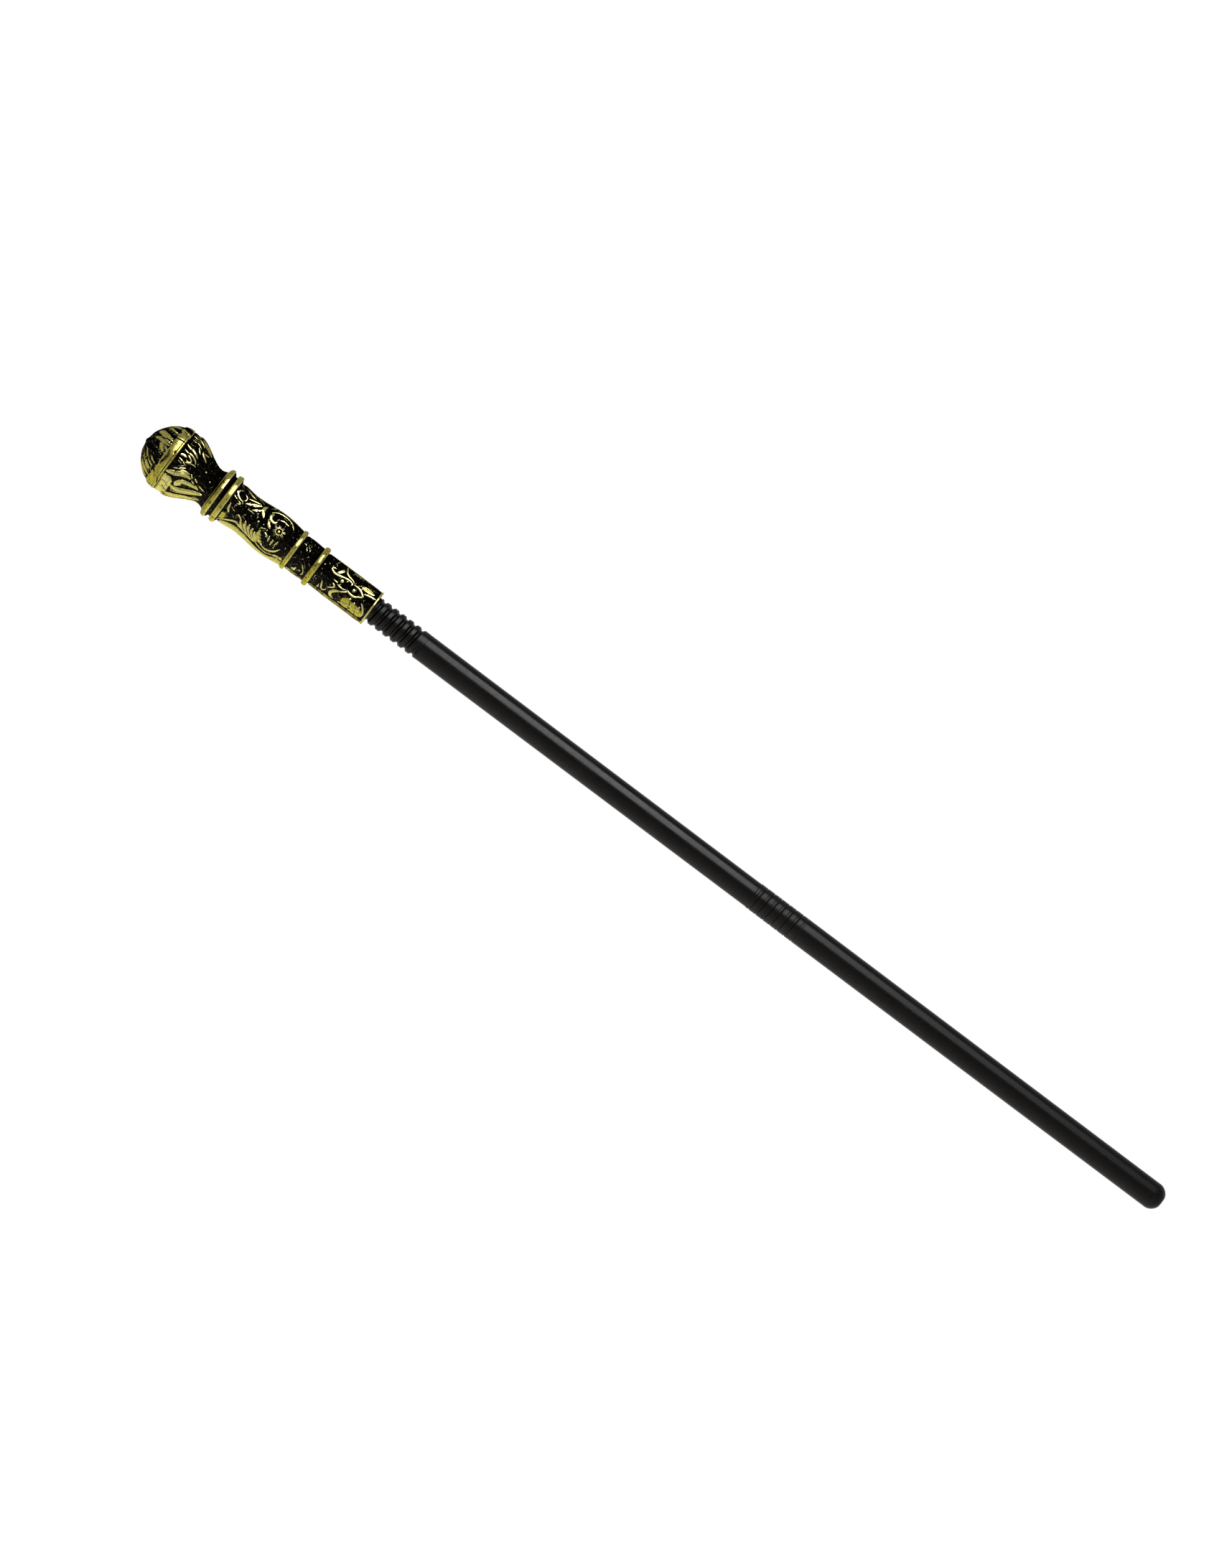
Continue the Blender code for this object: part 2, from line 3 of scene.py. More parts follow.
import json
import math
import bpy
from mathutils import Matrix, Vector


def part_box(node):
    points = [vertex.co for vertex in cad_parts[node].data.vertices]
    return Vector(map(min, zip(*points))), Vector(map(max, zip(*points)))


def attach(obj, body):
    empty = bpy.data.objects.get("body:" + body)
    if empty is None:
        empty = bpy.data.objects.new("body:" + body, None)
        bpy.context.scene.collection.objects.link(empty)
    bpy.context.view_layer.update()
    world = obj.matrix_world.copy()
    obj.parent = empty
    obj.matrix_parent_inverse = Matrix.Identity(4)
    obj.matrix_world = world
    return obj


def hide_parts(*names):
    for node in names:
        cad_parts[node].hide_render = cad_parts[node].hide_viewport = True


bl_info = {
    "name": "Sceptre walking stick",
    "version": (1, 0, 0),
    "blender": (4, 5, 0),
    "location": "3D Viewport > Sidebar > Stick",
    "description": "Builds the looks of a take-apart walking stick round its packed solids",
    "category": "Add Mesh",
}

import bmesh
import bpy
import numpy as np
from bpy.props import FloatProperty, FloatVectorProperty, IntProperty, PointerProperty
from mathutils import Matrix, Vector

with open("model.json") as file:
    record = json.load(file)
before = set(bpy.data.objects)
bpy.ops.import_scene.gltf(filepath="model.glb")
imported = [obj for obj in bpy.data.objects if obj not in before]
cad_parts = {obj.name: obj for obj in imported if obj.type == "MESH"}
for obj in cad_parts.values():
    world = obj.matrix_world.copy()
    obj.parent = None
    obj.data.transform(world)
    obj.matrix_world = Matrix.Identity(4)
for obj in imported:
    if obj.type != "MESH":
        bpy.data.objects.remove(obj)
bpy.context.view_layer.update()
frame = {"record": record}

MM = 0.001

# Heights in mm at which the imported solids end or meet
KNOB_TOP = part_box("knob_cap")[1].z / MM
KNOB_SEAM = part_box("handle_front_shell")[1].z / MM
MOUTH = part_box("handle_front_shell")[0].z / MM
NECK_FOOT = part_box("upper_tube")[1].z / MM
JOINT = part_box("joint_collar")[1].z / MM
COLLAR_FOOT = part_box("lower_tube")[1].z / MM
TIP_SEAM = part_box("lower_tube")[0].z / MM
SEAM_DEPTH = KNOB_TOP - KNOB_SEAM
MOUTH_DEPTH = KNOB_TOP - MOUTH

# Sizes in mm that several pieces share
SEAT_GAP = 0.3
WALL = 2.4
BUSH_SEAT = 11.8
KEY_LOW = MOUTH + 25.4
KEY_HIGH = MOUTH + 47.4
KEY_HALF_WIDTH = 1.5
KEY_REACH = 12.2
PLUG_LENGTH = 26
UPPER_PLUG = 7.8
UPPER_PLUG_HOLLOW = 4.6
LOWER_PLUG = 7.85
LOWER_PLUG_HOLLOW = 5.45
DOME_POWER = 1.11

# Where the halves' seam lies in degrees round, then the three lengths of a half, its plain rings and the
# grooves beside them in mm below the knob's top
SEAM_ANGLE = -123
HALF_LENGTHS = (("cup", 0, 60.2), ("grip", 60.2, 133.2), ("sleeve", 133.2, 300))
RINGS = ((60.7, 65.2), (68.8, 73.0), (129.2, 132.6), (148.3, 152.5), (199.3, 201))
RING_GROOVES = ((65.8, 68.3), (73.4, 74.2), (133.0, 133.4), (152.9, 153.3))

# The photograph: its height in pixels, the mm in a pixel, the cosine and sine of the stick's lean, and how
# many pixels the stick's middle lies right of the picture's middle and below it
PHOTO_HEIGHT = 2184
PIXEL = 0.5085
LEAN_COS, LEAN_SIN = 0.6010, 0.7993
MIDDLE_RIGHT, MIDDLE_DOWN = 69.0, 51.0

# Lamps: name, degrees round from the camera, metres from the stick, height and size in metres, share of the
# power, and whether it lights matt surfaces instead of showing in the gloss
LAMPS = (
    ("gleam lamp", 50, 1.5, 1.2, (1.3, 1.0), 0.3, False),
    ("shaft gleam lamp", 50, 1.5, 0.51, (1.3, 0.34), 0.25, False),
    ("low gleam lamp", 50, 1.5, 0.18, (1.3, 0.34), 0.06, False),
    ("side lamp", -90, 2.0, 0.5, (1.2, 1.2), 1.0, True),
)

# The carving, read off the photograph: kind, width in mm, height from 0 to 1, then points as
# (mm below the knob's top, degrees round). A cut takes its height away from what it crosses.
CUP_CARVING = (
    ("scroll", 2.7, 1.0, ((26.2, -36.5), (30, -34), (35, -31), (38.5, -27))),
    ("scroll", 1.9, 1.0, ((26.6, -26), (30, -24.5), (34.5, -24), (38, -21), (39.8, -16.5))),
    ("scroll", 2.7, 0.95, ((26.2, -14), (28.6, -16.5), (31.2, -16))),
    ("scroll", 1.6, 1.0, ((30.6, -20.5), (33.2, -19), (35.6, -16), (35.4, -12), (33.4, -10.6), (32.2, -13))),
    ("scroll", 1.2, 0.85, ((31.6, -8), (34, -8.6), (36.8, -12), (40, -13.6), (42, -11))),
    ("scroll", 1.5, 0.8, ((26.4, -8.5), (30, -7), (33, -4.5), (35, -2.6))),
    ("scroll", 1.1, 0.62, ((26.8, -4), (29.5, -2.6), (32, -1))),
    ("scroll", 1.5, 0.75, ((25.9, -53.5), (30, -53), (34.5, -51.5), (37.8, -46))),
    ("scroll", 1.2, 0.6, ((26, -44), (29.6, -42.6), (33, -43.4))),
    ("scroll", 1.5, 0.8, ((33.6, -49.5), (35.6, -43.5), (38.2, -36.5))),
    ("scroll", 2.1, 1.0, ((38.3, -50), (40.4, -43.5), (45, -37.5))),
    ("scroll", 1.7, 1.0, ((40.6, -50.6), (42.6, -54), (44.6, -58.6))),
    ("scroll", 1.9, 0.85, ((26, -64), (31, -65), (35, -63.4), (38.4, -60))),
    ("scroll", 1.3, 0.72, ((27, -58), (31, -58.6), (34.8, -57.4))),
    ("blade", 4.6, 0.85, ((33.6, -74), (39, -71), (45.4, -67))),
    ("scroll", 1.8, 0.9, ((26, -87), (34, -87), (43, -86), (52, -86))),
    ("scroll", 2.0, 0.7, ((26, -71), (29, -73), (32.4, -80), (33, -88))),
    ("scroll", 1.3, 0.55, ((36, -82), (41, -79), (47, -77), (53, -78))),
    ("scroll", 1.7, 0.8, ((27.6, 12.4), (31, 7.4), (34, 2.6), (36.4, -1))),
    ("scroll", 1.2, 0.62, ((28.8, 5), (31.6, 1.4), (34.4, -2.8))),
    ("blade", 3.9, 1.0, ((25, 22.5), (30, 18.6), (34.4, 13.2), (38.4, 9.6), (43, 11.6))),
    ("scroll", 1.5, 1.0, ((32.6, 8.8), (36.4, 4.6), (41, 4.6))),
    ("scroll", 1.0, 0.75, ((33.8, 18), (37.4, 14.2), (41.2, 13.8))),
    ("plate", 8.8, 0.95, ((29.4, 37), (29.7, 46), (29.5, 60), (29.4, 76))),
    ("plate", 3.0, 0.95, ((26.5, 30.6), (26.6, 40))),
    ("plate", 3.0, 0.95, ((31.9, 34), (32.2, 42))),
    ("cut", 1.3, 0.9, ((33.6, 27), (34, 33), (33.9, 40))),
    ("cut", 0.9, 0.7, ((33.4, 49), (34.2, 55), (33.7, 62))),
    ("cut", 0.9, 0.5, ((28, 52), (30.4, 56), (32.4, 55))),
    ("cut", 2.2, 0.9, ((32.2, 66), (31.8, 72))),
    ("cut", 0.6, 0.45, ((26, 40), (29.6, 43), (32.4, 47))),
    ("blade", 3.4, 1.0, ((34.8, 33), (37.2, 27), (40.4, 24), (45, 23.4), (51.6, 25.6))),
    ("plate", 3.4, 0.9, ((36.4, 35), (38.6, 31))),
    ("blade", 4.7, 1.0, ((33.2, 41), (38, 45.4), (45, 45), (50, 42), (55.6, 34.6))),
    ("scroll", 1.1, 0.9, ((35, 53), (40, 52.6), (46, 51), (51, 48))),
    ("blade", 5.6, 1.0, ((32.6, 64), (38, 68), (45, 69.5), (51, 65), (56, 56))),
    ("scroll", 1.1, 1.0, ((36, 60), (41, 62.6), (46, 62.6), (51, 58.6), (55, 52))),
    ("scroll", 1.5, 1.0, ((41.2, 2.2), (43.8, 9.4))),
    ("scroll", 1.5, 1.0, ((45.4, 6.2), (48.4, 11.4))),
    ("scroll", 1.4, 0.9, ((44, 13.4), (47.2, 17.8))),
    ("scroll", 1.4, 0.9, ((47.8, 19.4), (51, 23.8))),
    ("scroll", 1.8, 0.75, ((49.4, 14.6), (52.4, 18.4), (56.4, 22))),
    ("stud", 1.7, 0.85, ((48.9, -22.4),)),
    ("stud", 1.5, 0.85, ((54.9, -9.6),)),
    ("stud", 1.3, 0.7, ((48.2, -59),)),
    ("stud", 1.1, 0.6, ((51.4, -60),)),
    ("scroll", 1.0, 0.42, ((41, -30), (46, -31), (53, -34))),
    ("scroll", 1.0, 0.42, ((42, -22), (46, -24), (55, -27))),
    ("scroll", 1.0, 0.42, ((43, -8), (48, -12), (53, -14))),
    ("scroll", 1.0, 0.42, ((40, -3), (46, -3), (55, -1))),
    ("scroll", 1.1, 0.45, ((46, -40), (51, -43), (57, -47))),
    ("scroll", 1.1, 0.42, ((47, -50), (52, -54), (58, -57))),
    ("scroll", 1.0, 0.42, ((48, 2), (53, 7), (58, 11))),
    ("leaf", 3.6, 0.9, ((33.6, -104), (38, -98), (45, -96), (51, -99), (56, -106))),
    ("leaf", 3.4, 0.85, ((26.4, -94), (31, -90), (36, -88), (43, -88))),
    ("scroll", 1.4, 0.7, ((44, -86), (48, -88), (54, -92))),
)
GRIP_CARVING = (
    ("scroll", 2.1, 1.0, ((78.4, -49.5), (76, -43.5), (75.2, -35), (76.4, -27.5), (79.2, -21.8),
        (82.6, -20.6))),
    ("scroll", 1.2, 0.85, ((73.9, -24), (75.4, -19), (78.6, -16.6))),
    ("scroll", 1.2, 0.75, ((77.2, -11.6), (79.4, -14.8), (81.4, -11.5), (79.8, -8), (77.6, -9))),
    ("scroll", 1.0, 0.5, ((80.4, -5.4), (83, -7.4), (86, -5))),
    ("scroll", 2.4, 0.8, ((79.2, -69), (82, -65), (85.6, -60.4), (89, -58.4))),
    ("leaf", 3.4, 0.62, ((74.6, -80), (75.2, -66), (77.6, -53))),
    ("leaf", 3.8, 0.66, ((89.6, -78), (92, -69), (95.4, -60))),
    ("leaf", 2.9, 1.0, ((84, -21.6), (86.8, -28.5), (89.6, -36.4), (92.6, -43), (95, -47.6))),
    ("scroll", 1.9, 0.85, ((83.6, -40), (87, -45), (90, -49.5), (94, -53))),
    ("leaf", 2.5, 1.0, ((90.4, -18), (93, -24.6), (95.5, -31.8), (96.6, -39))),
    ("scroll", 1.4, 0.85, ((89.2, -28), (91.4, -35), (93.2, -42.4), (93.6, -51))),
    ("scroll", 1.0, 0.5, ((86, -14), (89, -19), (91, -27))),
    ("scroll", 3.4, 1.0, ((98.4, -58), (97.1, -48), (97.2, -37), (98.4, -28.6), (100.4, -18.6))),
    ("scroll", 1.7, 0.66, ((99.6, -50), (101, -60), (103.6, -72), (104.6, -86))),
    ("scroll", 1.3, 0.5, ((95, -62), (97, -70), (98.4, -82))),
    ("stud", 1.9, 0.95, ((98.9, -3.4),)),
    ("stud", 1.4, 0.7, ((92.4, -3.8),)),
    ("stud", 1.5, 0.75, ((103.2, -5),)),
    ("stud", 1.3, 0.65, ((99.6, 4),)),
    ("stud", 1.3, 0.6, ((91.8, 5),)),
    ("stud", 1.1, 0.5, ((88.6, 9.6),)),
    ("stud", 1.1, 0.5, ((95.6, 9),)),
    ("scroll", 2.4, 0.9, ((75.4, 0), (75.8, 9), (76.4, 17), (78.4, 25.4))),
    ("scroll", 1.2, 0.6, ((74.4, 31), (76.8, 27))),
    ("plate", 4.2, 0.72, ((75.9, 37), (76.2, 43), (75.4, 52))),
    ("plate", 9.6, 0.92, ((93, 41), (97.4, 42), (102, 41))),
    ("leaf", 3.0, 1.0, ((92.6, 46), (90, 33), (87.8, 20))),
    ("leaf", 3.0, 1.0, ((94.6, 44), (92.8, 31), (91.6, 15.6))),
    ("leaf", 3.0, 1.0, ((97.4, 44), (96, 31), (95.2, 16.6))),
    ("leaf", 3.0, 1.0, ((100.2, 44), (99.2, 32), (98.6, 18.6))),
    ("leaf", 2.8, 1.0, ((103.4, 47), (102.4, 36), (101, 24.6))),
    ("cut", 0.55, 0.7, ((89.4, 23), (91.4, 34), (95.6, 47))),
    ("cut", 0.55, 0.7, ((93.2, 19), (94.8, 33), (99, 47))),
    ("cut", 0.55, 0.7, ((96.8, 20), (98, 34), (102, 47))),
    ("cut", 0.5, 0.6, ((100, 25), (101, 36), (104.4, 46))),
    ("scroll", 1.6, 0.85, ((83.6, 14), (86.4, 17.6), (89.4, 24.4))),
    ("scroll", 1.1, 0.6, ((86.4, 10.4), (89.8, 14), (91.8, 19))),
    ("scroll", 1.0, 0.45, ((80, 4), (83.6, 6.6), (86, 12))),
    ("scroll", 0.9, 0.42, ((80.4, 20), (82, 27), (81, 34))),
    ("scroll", 2.1, 1.0, ((74, 67), (77.6, 54.4), (81.6, 44.4), (86, 38), (90, 42.6), (95.6, 48.6),
        (104.4, 51))),
    ("scroll", 1.9, 0.95, ((102.8, -46), (105.6, -58), (109.6, -65.4), (114, -67), (118.4, -61.6),
        (120.6, -54), (123, -43))),
    ("scroll", 3.1, 1.0, ((105.2, -47), (104.1, -37), (105.2, -27.6), (108.4, -24.8), (110, -32.6))),
    ("scroll", 2.7, 0.95, ((104.8, -19.6), (106.2, -12), (108.8, -5))),
    ("stud", 1.8, 0.7, ((107.6, 2),)),
    ("scroll", 1.5, 0.85, ((106.8, 8.4), (109.4, 12.6), (109, 17.4))),
    ("leaf", 4.8, 1.0, ((103.4, 12), (104.4, 24), (106.8, 35), (110.8, 42.6))),
    ("scroll", 2.2, 0.95, ((109, 42), (113.2, 46.4), (117, 43.8), (120.6, 35.6), (123.2, 21))),
    ("scroll", 1.5, 0.9, ((100.4, 27), (103, 41), (107.4, 51), (112, 55.8), (116.6, 56.6), (121, 50.5),
        (125.4, 45.6))),
    ("leaf", 1.9, 0.85, ((111.6, 9), (112, 16), (112.6, 24))),
    ("leaf", 2.2, 0.85, ((115.2, 11), (115.3, 19), (115.2, 29))),
    ("leaf", 1.9, 0.85, ((118.8, 8), (118.4, 14), (117.8, 22))),
    ("leaf", 2.0, 0.8, ((110.8, -41), (114, -46), (118.6, -43))),
    ("scroll", 1.3, 0.42, ((124.6, -36), (126.4, -24), (125.4, -12))),
    ("scroll", 1.1, 0.42, ((124.2, 2), (126.2, 12), (125.2, 24))),
    ("plate", 3.8, 0.8, ((122.6, 50), (124.6, 47.6), (127.2, 49))),
    ("leaf", 3.6, 0.85, ((77, -86), (80.6, -90), (85, -94), (87.6, -101))),
    ("leaf", 3.4, 0.85, ((88, -84), (92.6, -88), (97, -92), (99.6, -99))),
    ("scroll", 1.7, 0.8, ((101, -97), (105.6, -90), (111.4, -88), (116, -92), (116.4, -99), (112.4, -101))),
    ("scroll", 1.5, 0.75, ((112, -82), (118, -80), (123, -86), (126, -95))),
    ("stud", 2.0, 0.8, ((109.6, -96),)),
    ("scroll", 1.9, 0.9, ((75.6, -85), (88, -86), (100, -85), (113, -86), (128.4, -85))),
    ("scroll", 1.4, 0.72, ((80, -47), (82.6, -40), (83.4, -31), (82, -25.6))),
    ("scroll", 1.2, 0.66, ((86.8, -12), (90.6, -13.6), (95, -11.6))),
    ("scroll", 1.3, 0.66, ((101.4, 6), (104.4, 3.6), (107, -0.6))),
    ("scroll", 1.2, 0.62, ((76.6, 4.4), (79.4, 11), (82.6, 12.8))),
    ("scroll", 1.2, 0.66, ((110.4, -60), (113.6, -56), (117, -57))),
)
# Where the sweeping dark groove runs between the grip's carving and its smooth back
GRIP_GROOVE = (
    (74.8, 66), (77.4, 60), (80, 55), (85, 50.6), (90, 49.6), (95, 52.2), (100, 54.8), (105, 58.2),
    (110, 61.6), (116, 63.2), (119.6, 59), (122.4, 54), (128.6, 53),
)
SLEEVE_CARVING = (
    ("scroll", 1.4, 0.62, ((139.8, -49), (138, -41.5), (138.9, -33), (142.2, -28.6))),
    ("stud", 1.5, 0.6, ((134.7, -35),)),
    ("scroll", 1.2, 0.6, ((140.4, 3), (143.6, 16), (146.4, 32))),
    ("scroll", 1.5, 0.72, ((140.1, 13), (143.6, 27), (145.6, 40), (145.4, 52), (144.2, 66))),
    ("scroll", 1.0, 0.6, ((144.6, 4), (146.4, 9), (147.2, 14))),
    ("leaf", 3.8, 0.9, ((139.8, 40), (138.7, 50), (136.8, 61), (135.2, 74))),
    ("scroll", 1.3, 0.5, ((135.6, 37), (138, 31), (140.2, 24))),
    ("stud", 1.8, 0.85, ((142.7, 42),)),
    ("scroll", 1.4, 0.5, ((135, -80), (136.6, -68), (136.8, -57))),
    ("scroll", 1.1, 0.42, ((141, -72), (144.2, -62), (145.6, -49))),
    ("scroll", 1.0, 0.4, ((135.4, -22), (139, -14), (144, -12))),
    ("scroll", 1.0, 0.4, ((136, -4), (138, 4), (137, 14))),
    ("leaf", 3.2, 0.75, ((140.8, -82), (140.2, -94), (141.4, -106))),
    ("scroll", 1.3, 0.65, ((135.8, -99), (138, -91), (143.4, -88), (146, -96))),
    ("scroll", 2.1, 1.0, ((163.6, -35), (161.2, -31.6), (161, -25), (163.4, -19.6), (166.4, -19.4),
        (170, -23.4), (173.6, -27.2), (176.8, -27.4), (179, -23.6), (178.4, -16))),
    ("scroll", 2.0, 0.95, ((169.2, -82), (169.7, -66), (170.4, -55), (171.6, -45.6), (174, -39),
        (177.6, -35), (179.8, -29))),
    ("plate", 2.7, 0.95, ((166.6, -29), (167.4, -35), (168.4, -43))),
    ("scroll", 1.4, 0.66, ((160.2, -39), (161.2, -52), (162.2, -64), (163.4, -86))),
    ("scroll", 1.2, 0.5, ((164.4, -57), (164.9, -66), (165.4, -78))),
    ("scroll", 2.0, 1.0, ((179.6, -25.4), (183.4, -25.8), (186.4, -22.4), (188.6, -16.4), (189.9, -11),
        (188.6, -4.6), (186.6, -1))),
    ("scroll", 1.8, 1.0, ((178.4, 0.6), (181, 4.6), (184, 5.6), (186.8, 0.6), (188, -4.6))),
    ("stud", 3.2, 0.9, ((182.3, -10.5),)),
    ("stud", 3.2, 1.0, ((171.7, -12.2),)),
    ("scroll", 1.1, 0.7, ((165, -1.8), (168, 0), (170.4, 1.2))),
    ("scroll", 1.3, 0.8, ((169.8, 4), (173.6, 6.8), (176.6, 4.8), (178.8, -1.6))),
    ("scroll", 0.9, 0.6, ((175.6, -4.4), (177.6, -5.8), (179.4, -1.4))),
    ("scroll", 1.6, 0.95, ((179.8, 3), (176.8, 12), (173.8, 20))),
    ("scroll", 3.2, 1.0, ((175.2, 17), (171.6, 25.6), (169.8, 35), (169.8, 45), (171.2, 52), (174.6, 57))),
    ("scroll", 1.7, 0.95, ((166.8, 9), (169.4, 15), (168.8, 21), (166.8, 27), (165.2, 32))),
    ("scroll", 1.5, 0.65, ((174.4, 31), (177.4, 34), (180.4, 32))),
    ("scroll", 1.7, 0.8, ((159.3, 35), (159.7, 48), (159.4, 60), (159.4, 76))),
    ("scroll", 1.8, 0.9, ((160, 22), (161.2, 36), (162.2, 46.6), (163.7, 50.5), (165, 46), (165.8, 37))),
    ("scroll", 1.4, 0.75, ((153.9, 20), (153.9, 31))),
    ("scroll", 1.2, 0.55, ((154.6, 36), (156.8, 43.6), (158.2, 52))),
    ("scroll", 1.2, 0.55, ((153.6, 49), (156, 51), (158.8, 50))),
    ("scroll", 1.0, 0.42, ((153.6, -33), (155.4, -29), (157.4, -33))),
    ("scroll", 1.0, 0.42, ((156.4, -38), (158.6, -34), (160.2, -28))),
    ("scroll", 1.0, 0.4, ((155, -12), (158, -8), (160.6, -11))),
    ("scroll", 1.0, 0.4, ((154.6, 2), (157.4, 6), (160.8, 3), (163, 8))),
    ("scroll", 1.1, 0.45, ((155, -60), (157.6, -52), (156.4, -44))),
    ("plate", 9.4, 0.92, ((182.6, 38.5), (187, 39), (192.6, 42))),
    ("leaf", 4.2, 0.9, ((186, 46), (189.6, 55), (191.6, 64))),
    ("leaf", 3.6, 0.9, ((180.6, 46), (183.4, 54), (185.6, 62))),
    ("leaf", 3.0, 1.0, ((182, 34), (182.6, 24), (184.4, 15))),
    ("leaf", 3.0, 1.0, ((186.6, 36), (187.2, 26), (188.4, 18.6))),
    ("leaf", 3.0, 1.0, ((191, 36), (191.8, 28), (193, 20))),
    ("leaf", 3.0, 0.95, ((184.6, 42), (181, 48), (177.4, 53))),
    ("leaf", 3.2, 0.95, ((189, 46), (190, 53), (190.6, 60))),
    ("leaf", 2.6, 0.9, ((193, 42), (194, 50), (194.4, 57))),
    ("cut", 0.6, 0.75, ((180.2, 45), (184, 38), (190, 34), (195, 33))),
    ("cut", 0.5, 0.6, ((184.6, 26), (185.4, 33), (188, 37))),
    ("cut", 0.5, 0.6, ((189.4, 25), (190.2, 31), (192.4, 34))),
    ("cut", 0.7, 0.75, ((184, 57), (186.2, 51), (187.4, 44))),
    ("cut", 0.5, 0.6, ((192, 56), (192, 50), (191, 44))),
    ("scroll", 2.0, 0.95, ((191.6, 6), (194.2, 15), (196.1, 26), (196.9, 38), (196.4, 52))),
    ("blade", 4.4, 0.8, ((185.6, -35.6), (190, -38.6), (196, -38.6))),
    ("scroll", 1.9, 0.9, ((154.4, -85), (166, -86), (178, -85), (189, -86), (199, -85))),
    ("scroll", 2.2, 0.62, ((188.4, -50), (193, -54), (198.6, -53))),
    ("scroll", 2.1, 0.9, ((189.4, -19), (192.4, -24.4), (196, -27.6), (199.6, -29))),
    ("scroll", 1.1, 0.4, ((192, -10), (194.6, -5), (197.6, -8))),
    ("scroll", 1.4, 0.42, ((176, -54), (180.4, -50), (185, -53))),
    ("scroll", 1.5, 0.5, ((186, -64), (190.6, -60), (195.4, -64))),
    ("leaf", 3.2, 0.8, ((175.4, -66), (179.6, -70), (184.4, -71))),
    ("scroll", 1.5, 0.75, ((157.4, -100), (161.4, -91), (166.6, -90), (169.6, -98), (166.4, -103),
        (163.4, -98.6))),
    ("leaf", 3.4, 0.85, ((173, -84), (178, -81), (184, -84), (189, -91))),
    ("scroll", 1.5, 0.75, ((174, -103), (178.4, -96), (184, -97.6), (187, -104))),
    ("leaf", 3.0, 0.85, ((189.6, -101), (193, -92), (197, -84))),
    ("stud", 2.2, 0.85, ((181, -102),)),
    ("stud", 1.6, 0.7, ((156.6, -88),)),
)
CAP_CARVING = (
    ("blade", 5.6, 1.0, ((4.6, -52), (8, -40), (11.5, -31.6), (16, -26))),
    ("blade", 3.8, 0.95, ((4.6, -24), (8.6, -21.6), (12.6, -16), (16.4, -15))),
    ("blade", 3.6, 0.95, ((10, -13), (12.2, -5.6), (14.4, 0.6))),
    ("blade", 3.4, 0.9, ((10.6, -28), (13.6, -22.6), (17, -19.4))),
    ("blade", 2.6, 0.85, ((13.4, -11), (15.4, -7.6), (17.4, -3))),
    ("blade", 3.4, 0.9, ((8.6, -68), (12, -57.6), (14.6, -49.6), (18, -43))),
    ("blade", 4.4, 0.85, ((6.6, -84), (11, -76), (15.4, -67), (19, -58))),
    ("scroll", 1.9, 0.95, ((3.8, 20.6), (6, 26), (8.6, 33))),
    ("scroll", 1.7, 0.9, ((4.6, 41), (6.6, 45.4), (8.8, 47))),
    ("scroll", 1.1, 0.8, ((6.4, 7), (9, 11), (11.4, 19))),
    ("scroll", 1.5, 0.9, ((9.8, 23.6), (13, 26.2), (16.2, 27.4))),
    ("scroll", 1.9, 0.95, ((9.4, 34), (13, 35), (16.6, 35.4))),
    ("blade", 4.6, 0.95, ((8.4, 43), (11.6, 46.6), (15.6, 45))),
    ("blade", 4.4, 0.95, ((6.4, 60), (10, 60), (16.2, 58))),
    ("blade", 5.0, 0.95, ((5, 80), (9, 75), (16.4, 73))),
    ("blade", 3.6, 0.85, ((6, 98), (10, 92), (15.6, 88))),
    ("cut", 2.2, 0.7, ((4.4, -38), (7.4, -31))),
    ("cut", 2.4, 0.95, ((6.4, -12), (8.4, -8), (10.6, -3.4))),
    ("cut", 4.6, 1.0, ((2.6, 14), (5, 9), (8.4, 8), (12.8, 11))),
    ("cut", 2.3, 0.6, ((7.6, -56), (10, -45.4), (13, -39.6), (17, -36))),
    ("cut", 1.5, 0.95, ((15, -37), (19, -35.2), (24.4, -35.4))),
    ("cut", 4.6, 0.5, ((11.8, -64), (15.2, -56), (17.6, -50))),
    ("cut", 9.5, 0.62, ((17.6, -84), (21, -70), (25.6, -58))),
    ("cut", 1.1, 0.75, ((18.6, -58), (21.4, -53), (24.4, -50))),
    ("cut", 4.4, 1.0, ((11, 4), (13, 15), (17, 24.6))),
    ("cut", 2.8, 1.0, ((14.6, 33), (16.6, 36), (18.6, 38.6))),
    ("cut", 1.1, 0.95, ((9.6, 29), (14, 30.4), (17.6, 32))),
    ("cut", 0.9, 0.9, ((9.4, 38.4), (13.2, 39))),
    ("cut", 1.9, 0.9, ((14, 44), (15.6, 50))),
    ("cut", 1.2, 0.9, ((8.6, -25), (12.4, -26.4), (15.6, -23.6))),
    ("cut", 1.1, 0.8, ((22.3, -13.6), (22.5, -7.6))),
    ("cut", 3.8, 0.4, ((17.8, -10), (19.4, -2), (19, 6), (18.2, 19))),
    ("cut", 0.9, 0.6, ((22.7, 4), (22.8, 21), (23, 34))),
    ("cut", 1.4, 0.8, ((23.4, 43), (24, 49), (24.2, 56))),
    ("cut", 1.3, 0.85, ((4.4, 66), (8.4, 67.4), (13.4, 66))),
    ("cut", 1.1, 0.8, ((7, 90), (10, 84), (15.4, 80))),
    ("cut", 2.6, 0.55, ((6.4, -84), (9.6, -80), (13, -82))),
    ("cut", 2.2, 0.55, ((11, -96), (14, -98), (16.8, -95))),
    ("cut", 3.0, 0.9, ((18.6, -98), (20.6, -104), (23.6, -108))),
)


def mm_property(name, description, size):
    """A length, from its size in mm."""
    return FloatProperty(name=name, description=description, default=size * MM, min=0.0, unit="LENGTH")


